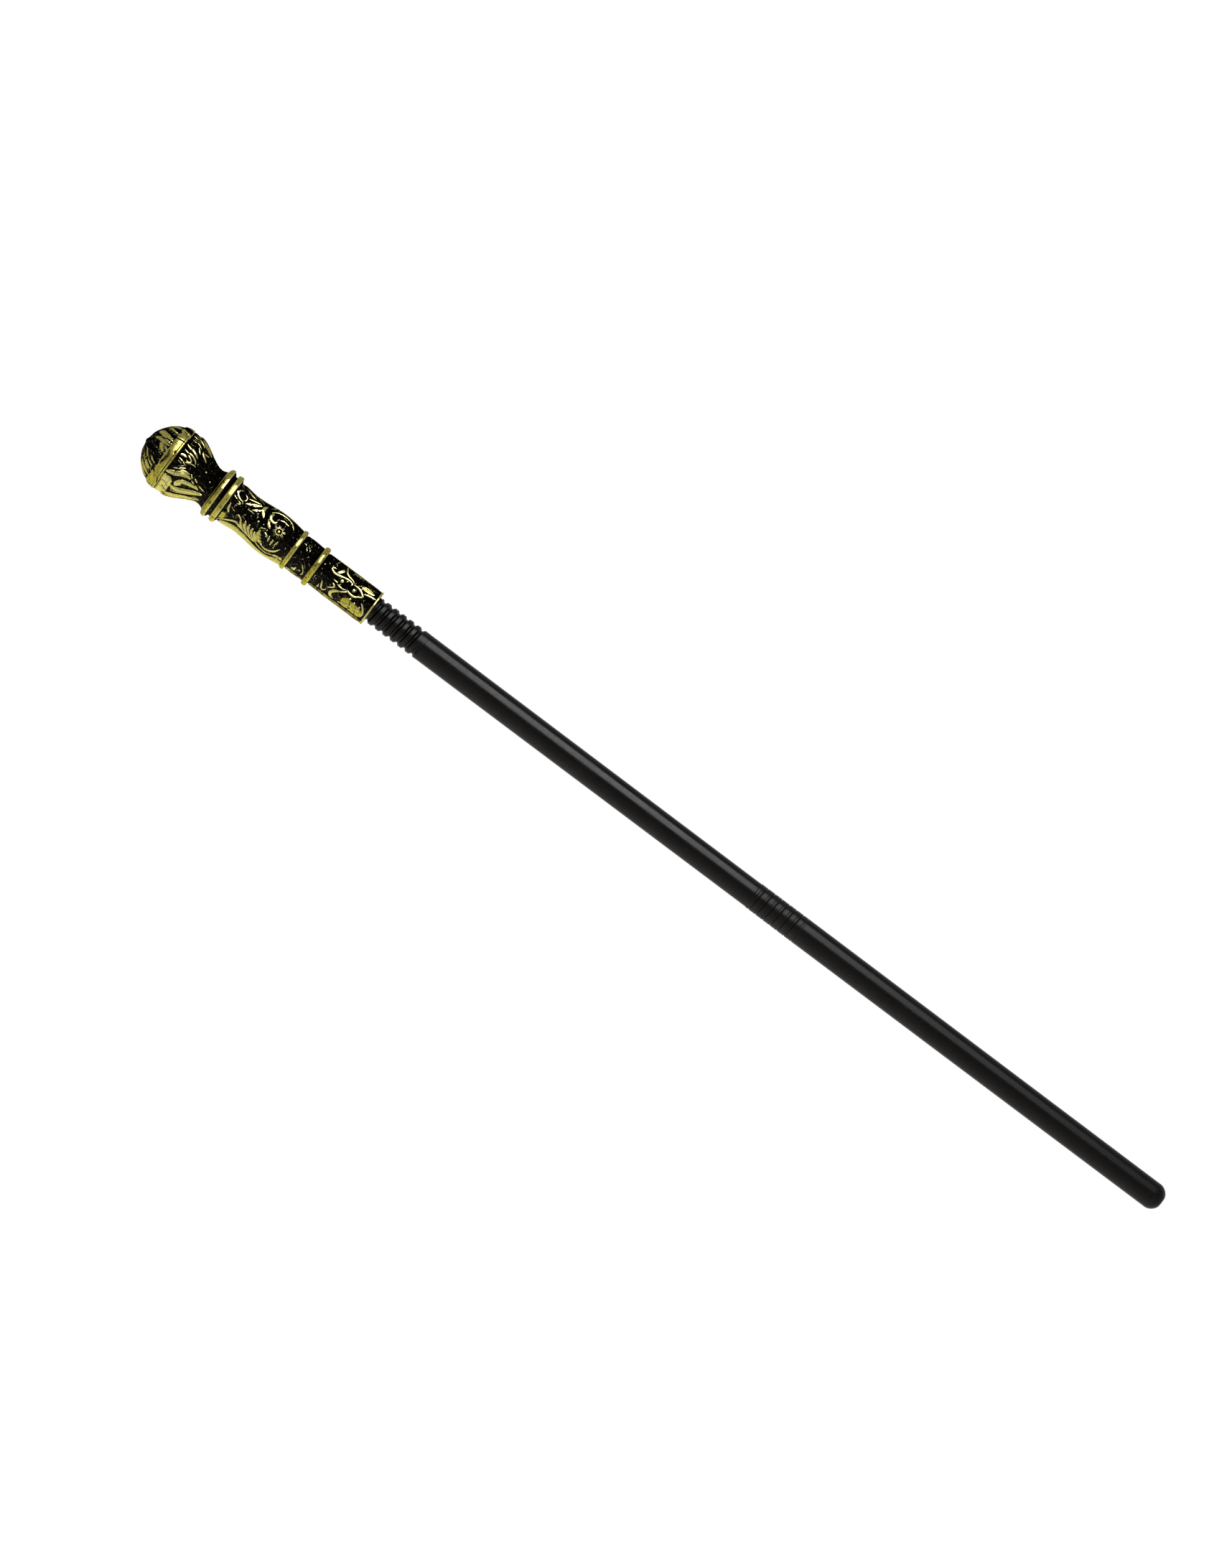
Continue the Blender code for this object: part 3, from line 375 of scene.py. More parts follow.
def plain_property(name, description, value, **more):
    """A plain number or an angle."""
    return FloatProperty(name=name, description=description, default=value, **more)


def share_property(name, description, value):
    """A value from 0 to 1."""
    return plain_property(name, description, value, min=0.0, max=1.0)


def colour_property(name, description, value):
    """A colour."""
    return FloatVectorProperty(name=name, description=description, subtype="COLOR", default=value)


def count_property(name, description, value, least):
    """A whole number with a least value."""
    return IntProperty(name=name, description=description, default=value, min=least)


class StickHandleSizes(bpy.types.PropertyGroup):
    """Sizes of the gold handle."""

    relief_depth: mm_property("Relief depth", "How far the ground between the carving is sunk", 0.95)
    face: mm_property("Face size", "Width of a face of the half shells", 0.235)
    cap_rows: count_property("Cap rows", "Rows of faces down the knob cap", 150, 30)
    cap_columns: count_property("Cap columns", "Columns of faces round the knob cap", 480, 48)
    parting: mm_property("Parting gap", "Gap between the two half shells", SEAT_GAP)
    petals: count_property("Petals", "Petals of the rosette in the grip's medallion", 8, 3)
    dome_leaves: count_property("Dome leaves", "Large leaves on the knob's dome", 8, 3)
    dome_dots: count_property("Dome dots", "Punched dots above the knob's belt", 42, 6)


class StickShaftSizes(bpy.types.PropertyGroup):
    """Sizes of the two black shafts."""

    facets: count_property("Facets", "Faces round a shaft", 96, 24)
    neck_pitch: mm_property("Neck pitch", "Rise of the neck's spiral in one turn", 6.6)
    neck_depth: mm_property("Neck groove depth", "Depth of the neck's spiral groove", 1.6)
    collar_pitch: mm_property("Collar pitch", "Rise of the collar's grooves in one turn", 6.3)
    collar_depth: mm_property("Collar groove depth", "Depth of the collar's grooves", 0.42)
    thread_pitch: mm_property("Thread pitch", "Rise of the joining screws in one turn", 6.0)
    thread_depth: mm_property("Thread depth", "Depth of the joining screws' thread", 0.8)


class StickFinishes(bpy.types.PropertyGroup):
    """Colours and gloss of the finishes."""

    gold: colour_property("Gold", "Antique gold on the raised parts", (0.335, 0.292, 0.008))
    old_gold: colour_property("Old gold", "Browner gold where the finish is thin", (0.15, 0.112, 0.003))
    # Paler gold for edges and raised parts: partly rubbed wear, partly a painted highlight
    rubbed_and_highlight_gold: colour_property("Rubbed and highlight gold", "Paler gold where edges are rubbed", (0.6, 0.56, 0.24))
    gloss_tint: colour_property("Gloss tint", "Tint of the gold's own gloss", (0.72, 0.66, 0.14))
    patina: colour_property("Patina", "Near-black wash in the hollows", (0.0062, 0.0055, 0.0042))
    thin_patina: colour_property("Thin wash", "Where the wash in the hollows is thin", (0.044, 0.040, 0.023))
    gold_roughness: share_property("Gold roughness", "Roughness of the raised gold", 0.1)
    metallic: share_property("Metallic", "How metallic the raised gold is", 0.58)
    coat: share_property("Coat", "Share of clear gloss over the raised gold", 0.24)
    coat_roughness: share_property("Coat roughness", "Roughness of the clear gloss", 0.24)
    black: colour_property("Black", "Black of the moulded plastic", (0.0095, 0.0084, 0.0078))
    black_roughness: share_property("Black roughness", "Roughness of the moulded plastic", 0.31)


class StickStageSettings(bpy.types.PropertyGroup):
    """Camera, lamps and sky."""

    distance: mm_property("Distance", "From the stick to the camera", 20000)
    azimuth: plain_property("Azimuth", "Where the camera stands", math.radians(-33), subtype="ANGLE")
    key_power: plain_property("Gleam lamps", "Power that the lamps for the gloss share out", 165.0)
    fill_power: plain_property("Side lamp", "Power of the lamp that lights matt surfaces", 92.0)
    sky: share_property("Sky", "Strength of the sky for matt surfaces", 0.1)


def ease(t):
    """0 to 1 with a level start and end."""
    return (1 - np.cos(np.pi * t)) / 2


def flare(t):
    """0 to 1 with a level start and a steep end."""
    return 1 - np.cos(np.pi * t / 2)


def smooth(low, high, value):
    """0 below low and 1 above high, with a soft change between. Low may be the larger."""
    t = np.clip((value - low) / (high - low), 0, 1)
    return t * t * (3 - 2 * t)


def hump(value, width):
    """A soft peak of 1 where the value is 0."""
    return np.exp(-((value / width) ** 2))


def stretch(start, end, form, steps=40):
    """(radius, depth) points after start, down to end. The form says how the radius changes."""
    t = np.arange(1, steps + 1) / steps
    return np.column_stack((start[0] + (end[0] - start[0]) * form(t), start[1] + (end[1] - start[1]) * t))


def bead(start, end, crest):
    """(radius, depth) points of a half-round ring after start, down to end."""
    turn = np.pi * np.arange(1, 41) / 40
    t = (1 - np.cos(turn)) / 2
    base = start[0] + (end[0] - start[0]) * t
    return np.column_stack((base + (crest - base) * np.sin(turn), start[1] + (end[1] - start[1]) * t))


def way_along(points):
    """How far along a line each of its points lies, from 0 to its length."""
    return np.concatenate(([0], np.cumsum(np.hypot(*np.diff(points, axis=0).T))))


def evenly(points, count):
    """Points an equal way apart along a line."""
    way = way_along(points)
    places = np.linspace(0, way[-1], count)
    return np.column_stack([np.interp(places, way, points[:, axis]) for axis in range(2)])


def handle_outline():
    """(radius, depth below the knob's top) in mm of the handle from the knob's seam to the mouth."""
    points = np.array([(24.8, SEAM_DEPTH), (25.1, SEAM_DEPTH + 0.3)])
    steps = (
        (stretch, (24.4, SEAM_DEPTH + 5.6), ease),
        (stretch, (25.15, SEAM_DEPTH + 6.8), ease),
        (stretch, (15.25, 56.4), lambda t: 0.75 * ease(t) + 0.25 * t),
        (stretch, (16.6, 61.2), flare),
        (bead, (17.6, 67.6), 19.9),
        (stretch, (17.6, 68.1), ease, 4),
        (bead, (16.4, 74.5), 19.4),
        (stretch, (15.15, 89.0), ease),
        (stretch, (16.9, 111.5), ease),
        (stretch, (15.2, 129.0), flare),
        (bead, (14.75, 133.0), 16.2),
        (stretch, (14.45, 148.1), ease),
        (bead, (13.8, 152.9), 16.2),
        (stretch, (13.8, MOUTH_DEPTH - 0.3), ease),
        (stretch, (13.5, MOUTH_DEPTH), ease, 4),
    )
    for make, end, form, *more in steps:
        points = np.vstack((points, make(points[-1], end, form, *more)))
    return points


def handle_bore():
    """(radius, depth) in mm of the handle's hollow, from the mouth up to the knob's seam."""
    slot_foot = KNOB_TOP - KEY_LOW + SEAT_GAP
    slot_top = KNOB_TOP - KEY_HIGH - SEAT_GAP
    flange_foot, flange_top, flange_seat = 152.0, 149.0, 12.9
    stops = (MOUTH_DEPTH, slot_foot + 0.1, slot_foot, slot_top, slot_top - 0.1, flange_foot)
    seat = [(BUSH_SEAT, depth) for depth in stops]
    flange = [(flange_seat, flange_foot), (flange_seat, flange_top), (12.05, flange_top)]
    grip = [(12.8, 129.0), (14.5, 111.5), (12.75, 89.0), (12.85, 56.4)]
    cup = [(13.9, 49.9), (17.3, 44.0), (20.8, 38.0), (22.7, 31.4), (22.7, SEAM_DEPTH)]
    return np.array(seat + flange + grip + cup)


class Carving:
    """Relief on a turned surface, laid out flat in mm. 0 is the sunk ground and 1 the outline itself."""

    def __init__(self, outline, depths, angles, polar=False, ground=0.0):
        self.outline = outline
        self.polar = polar
        self.way = way_along(outline) + (outline[0, 0] if polar else 0)
        self.depth, self.angle = np.meshgrid(depths, angles, indexing="ij")
        self.radius = np.interp(self.depth, outline[:, 1], outline[:, 0])
        self.x, self.y = self.flat(self.depth, self.angle)
        self.height = np.full(self.x.shape, ground)

    def flat(self, depth, angle):
        """Where a place on the surface lies on the flat drawing. A dome is drawn round its top."""
        way = np.interp(depth, self.outline[:, 1], self.way)
        turn = np.radians(angle)
        if self.polar:
            return way * np.cos(turn), way * np.sin(turn)
        return way, np.interp(depth, self.outline[:, 1], self.outline[:, 0]) * turn

    def line(self, points, turn):
        """A smooth line through (depth, degrees) points, as flat points 0.15 mm apart. A lone point stays."""
        knots = np.array(points, float) + (0, turn)
        if len(knots) == 1:
            return np.column_stack(self.flat(*knots.T))
        ends = 2 * knots[[0, -1]] - knots[[1, -2]]
        knots = np.vstack((ends[0], knots, ends[1]))
        t = np.linspace(0, 1, 24)[:-1, None]
        parts = []
        for a, b, c, d in zip(knots, knots[1:], knots[2:], knots[3:]):
            bend = (2 * a - 5 * b + 4 * c - d) * t**2 + (3 * b - a - 3 * c + d) * t**3
            parts.append(b + 0.5 * ((c - a) * t + bend))
        way = np.column_stack(self.flat(*np.vstack((*parts, knots[-2])).T))
        return evenly(way, max(8, int(way_along(way)[-1] / 0.15)))

    def near(self, way, reach):
        """The grid places within reach of a line, their distance from it and how far along it they lie."""
        low = way.min(0) - reach
        high = way.max(0) + reach
        places = np.nonzero((self.x > low[0]) & (self.x < high[0]) & (self.y > low[1]) & (self.y < high[1]))
        gaps = np.hypot(self.x[places][:, None] - way[None, :, 0], self.y[places][:, None] - way[None, :, 1])
        nearest = gaps.argmin(1)
        return places, gaps[np.arange(len(gaps)), nearest], nearest / max(1, len(way) - 1)

    def raise_to(self, places, height):
        """Lifts the ground to a height, and leaves what is already higher."""
        self.height[places] = np.maximum(self.height[places], height)

    def pointed(self, way, width, end):
        """Places by a line with pointed ends, how near its edge they are, and how full its width is there."""
        places, gap, share = self.near(way, width / 2)
        taper = np.minimum(1, np.minimum(share, 1 - share) / end) ** 0.6
        return places, np.clip(gap / (width / 2 * (0.3 + 0.7 * taper)), 0, 1), taper

    def scroll(self, way, width, rise):
        """A half-round line with pointed ends."""
        places, t, taper = self.pointed(way, width, 0.3)
        self.raise_to(places, rise * (0.6 + 0.4 * taper) * (1 - t**2) ** 0.5)

    def cut(self, way, width, rise):
        """A groove with pointed ends."""
        places, t, _ = self.pointed(way, width, 0.25)
        self.height[places] = np.maximum(0, self.height[places] - rise * (1 - t**3))

    def leaf(self, way, width, rise):
        """A leaf of pointed fingers that sweep towards its tip, with grooves between them and a midrib."""
        places, gap, share = self.near(way, width * 0.6)
        fingers = max(2, round(way_along(way)[-1] / 3.0))
        belly = np.sin(np.pi * np.clip(share, 0, 1) ** 0.72) ** 0.6
        beat = (fingers * share - 0.95 * gap / (width / 2)) % 1
        half = width / 2 * (0.14 + belly) * (0.72 + 0.38 * (1 - beat) ** 0.7)
        t = np.clip(gap / half, 0, 1)
        furrow = hump(np.minimum(beat, 1 - beat), 0.13) * smooth(0.1, 0.4, t)
        rib = hump(gap, 0.3)
        self.raise_to(places, rise * (1 - t**3) ** 0.5 * (0.9 + 0.1 * rib - 0.42 * furrow))

    def blade(self, way, width, rise):
        """A long smooth leaf with pointed ends and two shallow veins along it."""
        places, gap, share = self.near(way, width * 0.55)
        half = width / 2 * (0.15 + 0.95 * np.sin(np.pi * np.clip(share, 0, 1) ** 0.85) ** 0.6)
        vein = hump(gap - 0.45 * half, 0.22) * smooth(0.7, 1.2, half)
        self.raise_to(places, rise * (1 - np.clip(gap / half, 0, 1) ** 4) ** 0.5 * (1 - 0.3 * vein))

    def plate(self, way, width, rise):
        """A broad smooth patch with soft edges."""
        places, gap, _ = self.near(way, width / 2)
        self.raise_to(places, rise * (1 - (gap / (width / 2)) ** 5).clip(0) ** 0.5)

    def stud(self, way, width, rise):
        """A round knob."""
        places, gap, _ = self.near(way[:1], width / 2)
        self.raise_to(places, rise * np.sqrt(np.clip(1 - (gap / (width / 2)) ** 2, 0, 1)))

    def draw(self, table, turns):
        """Carves a table's lines, each at every turn."""
        for kind, width, rise, points in table:
            for turn in turns:
                getattr(self, kind)(self.line(points, turn), width, rise)

    def rosette(self, depth, angle, radius, petals):
        """A flower with two rings of cupped petals round a stud."""
        x, y = self.flat(depth, angle)
        gap = np.hypot(self.x - x, self.y - y) / radius
        turn = np.arctan2(self.y - y, self.x - x)
        for share, twist, rise in ((1.0, 0.0, 0.74), (0.66, 0.5, 0.8)):
            phase = (petals * turn / (2 * np.pi) + twist) % 1 - 0.5
            t = gap / (share * (0.84 + 0.16 * np.cos(2 * np.pi * phase)))
            petal = np.clip(1 - t**6, 0, 1) ** 0.5 * np.clip(np.cos(np.pi * phase), 0, 1) ** 0.35
            cup = 1 - 0.3 * hump(phase, 0.1) * smooth(0.2, 0.5, t)
            edge = 0.7 + 0.3 * smooth(0.1, 0.55, t)
            places = np.nonzero(t < 1)
            self.raise_to(places, (rise * petal * cup * edge)[places])
            ring = hump(gap - share * 0.42, 0.05) * (share < 1)
            self.height -= 0.35 * ring * (gap < 1)
        self.height[gap < 0.3] *= 0.4
        self.stud(np.array([(x, y)]), radius * 0.44, 0.9)

    def flecks(self, count, seed, low, high, rise):
        """Small faint strokes scattered over the sunk ground."""
        chance = np.random.default_rng(seed)
        for _ in range(count):
            depth = chance.uniform(low, high)
            angle = chance.uniform(SEAM_ANGLE + 1, SEAM_ANGLE + 179)
            slant = chance.uniform(-1, 1)
            bend = chance.uniform(-4, 4)
            middle, end = (depth + 1.3 * slant, angle + 5 + bend), (depth + 2.4 * slant, angle + 9)
            line = self.line(((depth, angle), middle, end), 0)
            self.scroll(line, chance.uniform(0.8, 1.4), chance.uniform(0.7, 1) * rise)


def blurred(height, passes):
    """The height evened out over its neighbours."""
    for _ in range(passes):
        edged = np.pad(height, 1, mode="edge")
        height = (edged[:-2, 1:-1] + edged[2:, 1:-1] + edged[1:-1, :-2] + edged[1:-1, 2:]) / 8 + height / 2
    return height


def belts(depth, bands, soft=0.4):
    """1 inside the given bands of depth and 0 outside them."""
    inside = np.zeros(depth.shape)
    for low, high in bands:
        inside = np.maximum(inside, smooth(low - soft, low, depth) * smooth(high + soft, high, depth))
    return inside


def shell_relief(depths, angles, petals):
    """The height of a half shell's carving, and where its raised parts get paler gold: partly rubbed wear,
    partly a painted highlight.
    """
    carving = Carving(handle_outline(), depths, angles)
    depth, angle = carving.depth, carving.angle
    for fleck in ((150, 11, 27, 60, 0.61), (230, 12, 74, 129, 0.67), (240, 13, 133, 199, 0.69)):
        carving.flecks(*fleck)
    for table in (CUP_CARVING, GRIP_CARVING, SLEEVE_CARVING):
        carving.draw(table, (0, -180))
    carving.rosette(115, -13, 6.3, petals)
    # The smooth back of the grip lies past its sweeping groove, and goes on past the seam
    groove_angle = np.interp(depth, *np.array(GRIP_GROOVE).T)
    in_grip = belts(depth, ((76.5, 128.6),), 1.0)
    beyond = smooth(0, 2.5, angle + 180 - groove_angle) * smooth(-96, -99, angle)
    past = np.maximum(smooth(0, 2.5, angle - groove_angle), beyond)
    on_sleeve = smooth(152.5, 153, depth) + belts(depth, ((133.2, 147.8),))
    back = smooth(-118.4, -117, angle) * smooth(-97, -100, angle) * on_sleeve
    carving.height = np.maximum.reduce((carving.height, 0.88 * past * in_grip, 0.62 * back))
    for turn in (0, -180):
        carving.cut(carving.line(GRIP_GROOVE, turn), 2.0, 1.0)
    # The sleeve is plain dark along the seam, and the cup has a rim below the knob's belt
    margin = np.maximum(smooth(55.2, 56.2, angle), smooth(-117.4, -118.6, angle)) * on_sleeve
    carving.height *= 1 - 0.9 * margin
    rim = smooth(25.3, 24.9, depth) * (1 - smooth(-50, -44, angle) * smooth(30, 24, angle))
    plain = np.maximum(belts(depth, RINGS), rim)
    # Raised carving is marked for paler gold: partly rubbed wear, partly a painted highlight
    rubbed_and_highlight = smooth(0.7, 0.95, carving.height) * (1 - plain) * smooth(131, 129, depth)
    carving.height = np.maximum(carving.height * (1 - belts(depth, RING_GROOVES, 0.25)), plain)
    return carving.height, rubbed_and_highlight


def worn(height, rubbed_and_highlight, near, wide):
    """The softened height, how far it lies below what is near, and how far it stands above what is around."""
    hollow = blurred(height, near) - height
    proud = np.maximum(height - blurred(height, wide), rubbed_and_highlight)
    return blurred(height, 1), hollow, proud


def pressed(outline, sunk):
    """Grids of radius and depth of a turned surface that is pressed in, square to itself."""
    slope = np.gradient(outline, axis=0)
    slope /= np.hypot(slope[:, 0], slope[:, 1])[:, None]
    return outline[:, :1] - sunk * slope[:, 1:], outline[:, 1:] + sunk * slope[:, :1]


def gold_masks(height, hollow, proud, plain, ends=()):
    """What the gold's material reads, for the carved points, then the plain ones, then the end ones."""
    none = np.zeros(plain + len(ends))
    return {
        "relief": np.concatenate((height.ravel(), np.full(plain, 0.5), ends)),
        "hollow": np.concatenate((hollow.ravel(), none)),
        "proud": np.concatenate((proud.ravel(), none)),
    }


def placed(radius, turn, height):
    """Points row by row, from radii, angles round the axis and heights."""
    grids = np.broadcast_arrays(radius * np.cos(turn), radius * np.sin(turn), height)
    return np.stack(grids, -1).reshape(-1, 3)


def grid_faces(rows, columns, around=False):
    """Quads over a grid of points that are numbered row by row."""
    across = columns if around else columns - 1
    row, column = np.meshgrid(np.arange(rows - 1), np.arange(across), indexing="ij")
    a = row * columns + column
    b = row * columns + (column + 1) % columns
    return np.stack((a, b, b + columns, a + columns), -1).reshape(-1, 4).tolist()


def pole_faces(count, columns):
    """Triangles from the first and the last row of a turned grid to the two points that follow it."""
    last = count - columns
    first_fan = [(count, (i + 1) % columns, i) for i in range(columns)]
    return first_fan + [(count + 1, last + i, last + (i + 1) % columns) for i in range(columns)]


def placed_object(name, data):
    """A new object in the scene."""
    obj = bpy.data.objects.new(name, data)
    bpy.context.scene.collection.objects.link(obj)
    return obj


def solid(name, points, faces, attributes=None, sharp=50):
    """A closed mesh object with its faces outwards, from points in mm."""
    mesh = bpy.data.meshes.new(name)
    mesh.from_pydata((points * MM).tolist(), [], faces)
    for key, values in (attributes or {}).items():
        layer = mesh.attributes.new(key, "FLOAT", "POINT")
        layer.data.foreach_set("value", values.astype(np.float32))
    shape = bmesh.new()
    shape.from_mesh(mesh)
    bmesh.ops.recalc_face_normals(shape, faces=shape.faces)
    if shape.calc_volume(signed=True) < 0:
        bmesh.ops.reverse_faces(shape, faces=shape.faces)
    if any(not edge.is_manifold for edge in shape.edges):
        raise RuntimeError(f"{name} isn't a closed surface")
    shape.to_mesh(mesh)
    shape.free()
    mesh.shade_smooth()
    mesh.set_sharp_from_angle(angle=math.radians(sharp))
    return placed_object(name, mesh)


def between(points, low, high):
    """The stretch of a (radius, depth) line from one depth to another, with its ends worked out."""
    low, high = max(low, points[0, 1]), min(high, points[-1, 1])
    depth = points[:, 1]
    keep = points[(depth > low) & (depth < high)]
    ends = [(np.interp(at, depth, points[:, 0]), at) for at in (low, high)]
    return np.vstack((ends[0], keep, ends[1]))


def make_shell_length(name, sizes, turn_deg, low, high):
    """A length of one half of the handle, carved on its outside, with a plain hollow."""
    part = between(handle_outline(), low, high)
    face = sizes.face / MM
    outline = evenly(part, int(way_along(part)[-1] / face))
    columns = int(np.pi * part[:, 0].max() / face)
    share = np.linspace(0, 1, columns)
    to_edge = np.minimum(share, 1 - share)
    height, rubbed_and_highlight = shell_relief(outline[:, 1], SEAM_ANGLE + 180 * (1 - share), sizes.petals)
    height, hollow, proud = worn(height, 0.36 * rubbed_and_highlight, near=22, wide=160)
    bevel, bevel_width = 0.3, 0.5
    from_seam = to_edge[None, :] * np.pi * outline[:, :1]
    sunk = sizes.relief_depth / MM * (1 - height) + bevel * smooth(bevel_width, 0.0, from_seam)
    # In the cup the surface also draws in between its leaves, as the solid does
    cup_top, cup_length, draw_in = 31.4, 25.0, 0.8
    fall = np.clip((outline[:, 1:] - cup_top) / cup_length, 0, 1)
    sunk = sunk + draw_in * np.sin(np.pi * fall) * (1 - np.abs(np.cos(4 * np.pi * share)))[None, :]
    out, down = pressed(outline, sunk)
    bore = handle_bore()[::-1]
    bore[:, 1] += np.arange(len(bore)) * 1e-6
    wall = between(bore, low, high)[::-1]
    hollow_radius = np.repeat(wall[:, :1], columns, 1)
    # Each half has half of the two slots for the bush's keys, which lie on the seam
    level = KNOB_TOP - wall[:, 1:]
    by_keys = (level > KEY_LOW - SEAT_GAP - 0.05) & (level < KEY_HIGH + SEAT_GAP + 0.05)
    by_seam = to_edge * np.pi * BUSH_SEAT < KEY_HALF_WIDTH + SEAT_GAP
    hollow_radius[by_keys & by_seam] = KEY_REACH + SEAT_GAP
    radius = np.vstack((out, hollow_radius))
    depth = np.vstack((down, np.repeat(wall[:, 1:], columns, 1)))
    edge = np.arcsin(sizes.parting / MM / 2 / radius)
    turn = -np.pi + edge + (np.pi - 2 * edge) * share[None, :] + math.radians(turn_deg)
    rows = len(radius)
    last = (rows - 1) * columns
    faces = grid_faces(rows, columns)
    faces += [(a, last + a, last + a + 1, a + 1) for a in range(columns - 1)]
    faces += [[row * columns + column for row in range(rows)] for column in (0, columns - 1)]
    masks = gold_masks(height, hollow, proud, hollow_radius.size)
    return solid(name, placed(radius, turn, KNOB_TOP - depth), faces, masks)


def dome_outline():
    """(radius, depth) in mm of the knob cap's outside, from near its top down to its seat."""
    rise, reach, power = 24.6, 24.9, 1.8
    depth = rise * (1 - np.cos(np.linspace(0.03, np.pi / 2, 400)) ** DOME_POWER)
    radius = reach * (1 - (1 - depth / rise).clip(0) ** power) ** (1 / power)
    radius = radius + 0.5 * smooth(17.2, 18.0, depth) * smooth(24.5, 24.0, depth)
    keep = depth < 24.25
    return np.vstack((np.column_stack((radius, depth))[keep], [(25.0, SEAM_DEPTH - 0.1)]))


def dome_relief(carving, sizes):
    """The carving of the knob's dome: swept leaves round a button, a row of dots, and the smooth belt."""
    way = np.hypot(carving.x, carving.y)
    swirl = sizes.dome_leaves * (carving.angle / 360 + 0.0035 * way) % 1
    vein = np.minimum(swirl, 1 - swirl) * 2 * np.pi * carving.radius / sizes.dome_leaves
    leaf_zone = smooth(3.0, 5.0, way) * smooth(17.0, 16.2, carving.depth)
    carving.height -= 0.34 * leaf_zone + 0.5 * hump(vein, 0.75) * leaf_zone
    side = (way / 3.1 - 1.1 * np.minimum(vein, 4) / 3.1) % 1
    carving.height -= 0.5 * hump(np.minimum(side, 1 - side), 0.17) * leaf_zone * smooth(0.5, 1.2, vein)
    carving.height = carving.height.clip(0)
    carving.draw(CAP_CARVING, (0, 180))
    carving.height *= smooth(4.0, 8.5, way)
    carving.stud(np.array([(0.0, 0.0)]), 4.0, 0.62)
    dot = (sizes.dome_dots * carving.angle / 360) % 1 - 0.5
    across = dot * 2 * np.pi * carving.radius / sizes.dome_dots
    gap = np.hypot(across, (carving.depth - 15.6) * 1.5) / 0.85
    carving.height -= np.clip(1 - gap**2, 0, 1)
    lines = 0.4 * hump(carving.depth - 16.9, 0.22) + 0.55 * hump(carving.depth - 22.9, 0.2)
    return np.clip(carving.height - lines, 0, 1)


def make_knob_cap(name, sizes):
    """The dome of the knob, carved with leaves, over its belt, hollow and with its skirt."""
    rows, columns = sizes.cap_rows, sizes.cap_columns
    outline = evenly(dome_outline(), rows)
    angles = 180 - 360 * (np.arange(columns) / columns)
    height = dome_relief(Carving(outline, outline[:, 1], angles, polar=True, ground=0.95), sizes)
    # The carved leaves on the upper dome are marked for paler gold: partly rubbed wear, partly painted light
    # that brightens the dome's top
    rubbed_and_highlight = 0.3 * smooth(0.6, 0.9, height) * (outline[:, 1:] < 17)
    height, hollow, proud = worn(height, rubbed_and_highlight, near=16, wide=120)
    out, down = pressed(outline, sizes.relief_depth / MM * 0.9 * (1 - height))
    seat, inner, skirt = SEAM_DEPTH - 0.1, 20.4, 22.4
    rise = 24.6 - WALL
    inside = np.array([(skirt, seat), (skirt, seat + 6), (inner, seat + 6)] + [
        (inner * math.sin(t) ** DOME_POWER, WALL + rise * (1 - math.cos(t) ** DOME_POWER))
        for t in np.linspace(1.5, 0.1, 8)
    ])
    radius = np.vstack((out, np.repeat(inside[:, :1], columns, 1)))
    depth = np.vstack((down, np.repeat(inside[:, 1:], columns, 1)))
    points = placed(radius, np.radians(SEAM_ANGLE - angles), KNOB_TOP - depth)
    faces = grid_faces(len(radius), columns, around=True) + pole_faces(len(points), columns)
    points = np.vstack((points, [(0, 0, KNOB_TOP), (0, 0, KNOB_TOP - WALL)]))
    return solid(name, points, faces, gold_masks(height, hollow, proud, len(inside) * columns, (1, 0.5)))


def turned_solid(name, outline):
    """A turned piece, from (radius, height) points in mm that make a closed loop or go from axis to axis."""
    outline = np.array(outline, float)
    facets = bpy.context.scene.stick_shafts.facets
    turn = np.linspace(0, 2 * np.pi, facets, endpoint=False)
    open_ended = outline[0, 0] == 0
    ring = outline[1:-1] if open_ended else outline
    points = placed(ring[:, :1], turn, ring[:, 1:])
    faces = grid_faces(len(ring), facets, around=True)
    if open_ended:
        faces += pole_faces(len(points), facets)
        points = np.vstack((points, [(0, 0, outline[0, 1]), (0, 0, outline[-1, 1])]))
    else:
        last = len(points) - facets
        faces += [(last + i, last + (i + 1) % facets, (i + 1) % facets, i) for i in range(facets)]
    return solid(name, points, faces, sharp=35)


def add_bar(obj, low, high):
    """Adds a closed bar to an object's mesh, from two of its corners in mm."""
    low, high = Vector(low) * MM, Vector(high) * MM
    place = Matrix.Translation((low + high) / 2) @ Matrix.Diagonal((*(high - low), 1))
    shape = bmesh.new()
    shape.from_mesh(obj.data)
    bmesh.ops.create_cube(shape, size=1, matrix=place)
    shape.to_mesh(obj.data)
    shape.free()


def fine(start, end, step=0.25):
    """(radius, height) points about a step apart, from one to another."""
    count = max(1, round(math.dist(start, end) / step))
    reach = (end[0] - start[0], end[1] - start[1])
    return [(start[0] + reach[0] * i / count, start[1] + reach[1] * i / count) for i in range(count + 1)]


class Output:
    """A node's output, with which sums can be written as with a number."""

    def __init__(self, socket):
        self.socket = socket
        self.tree = socket.id_data

    def sum(self, operation, *others, clamp=False):
        """The result of one sum on this output and other numbers or outputs."""
        inputs = dict(enumerate((self, *others, 0.0, 0.0)[:3]))
        return made(self.tree, "ShaderNodeMath", inputs, operation=operation, use_clamp=clamp)

    def __add__(self, other):
        return self.sum("ADD", other)

    def __sub__(self, other):
        return self.sum("SUBTRACT", other)

    def __mul__(self, other):
        return self.sum("MULTIPLY", other)

    def __truediv__(self, other):
        return self.sum("DIVIDE", other)


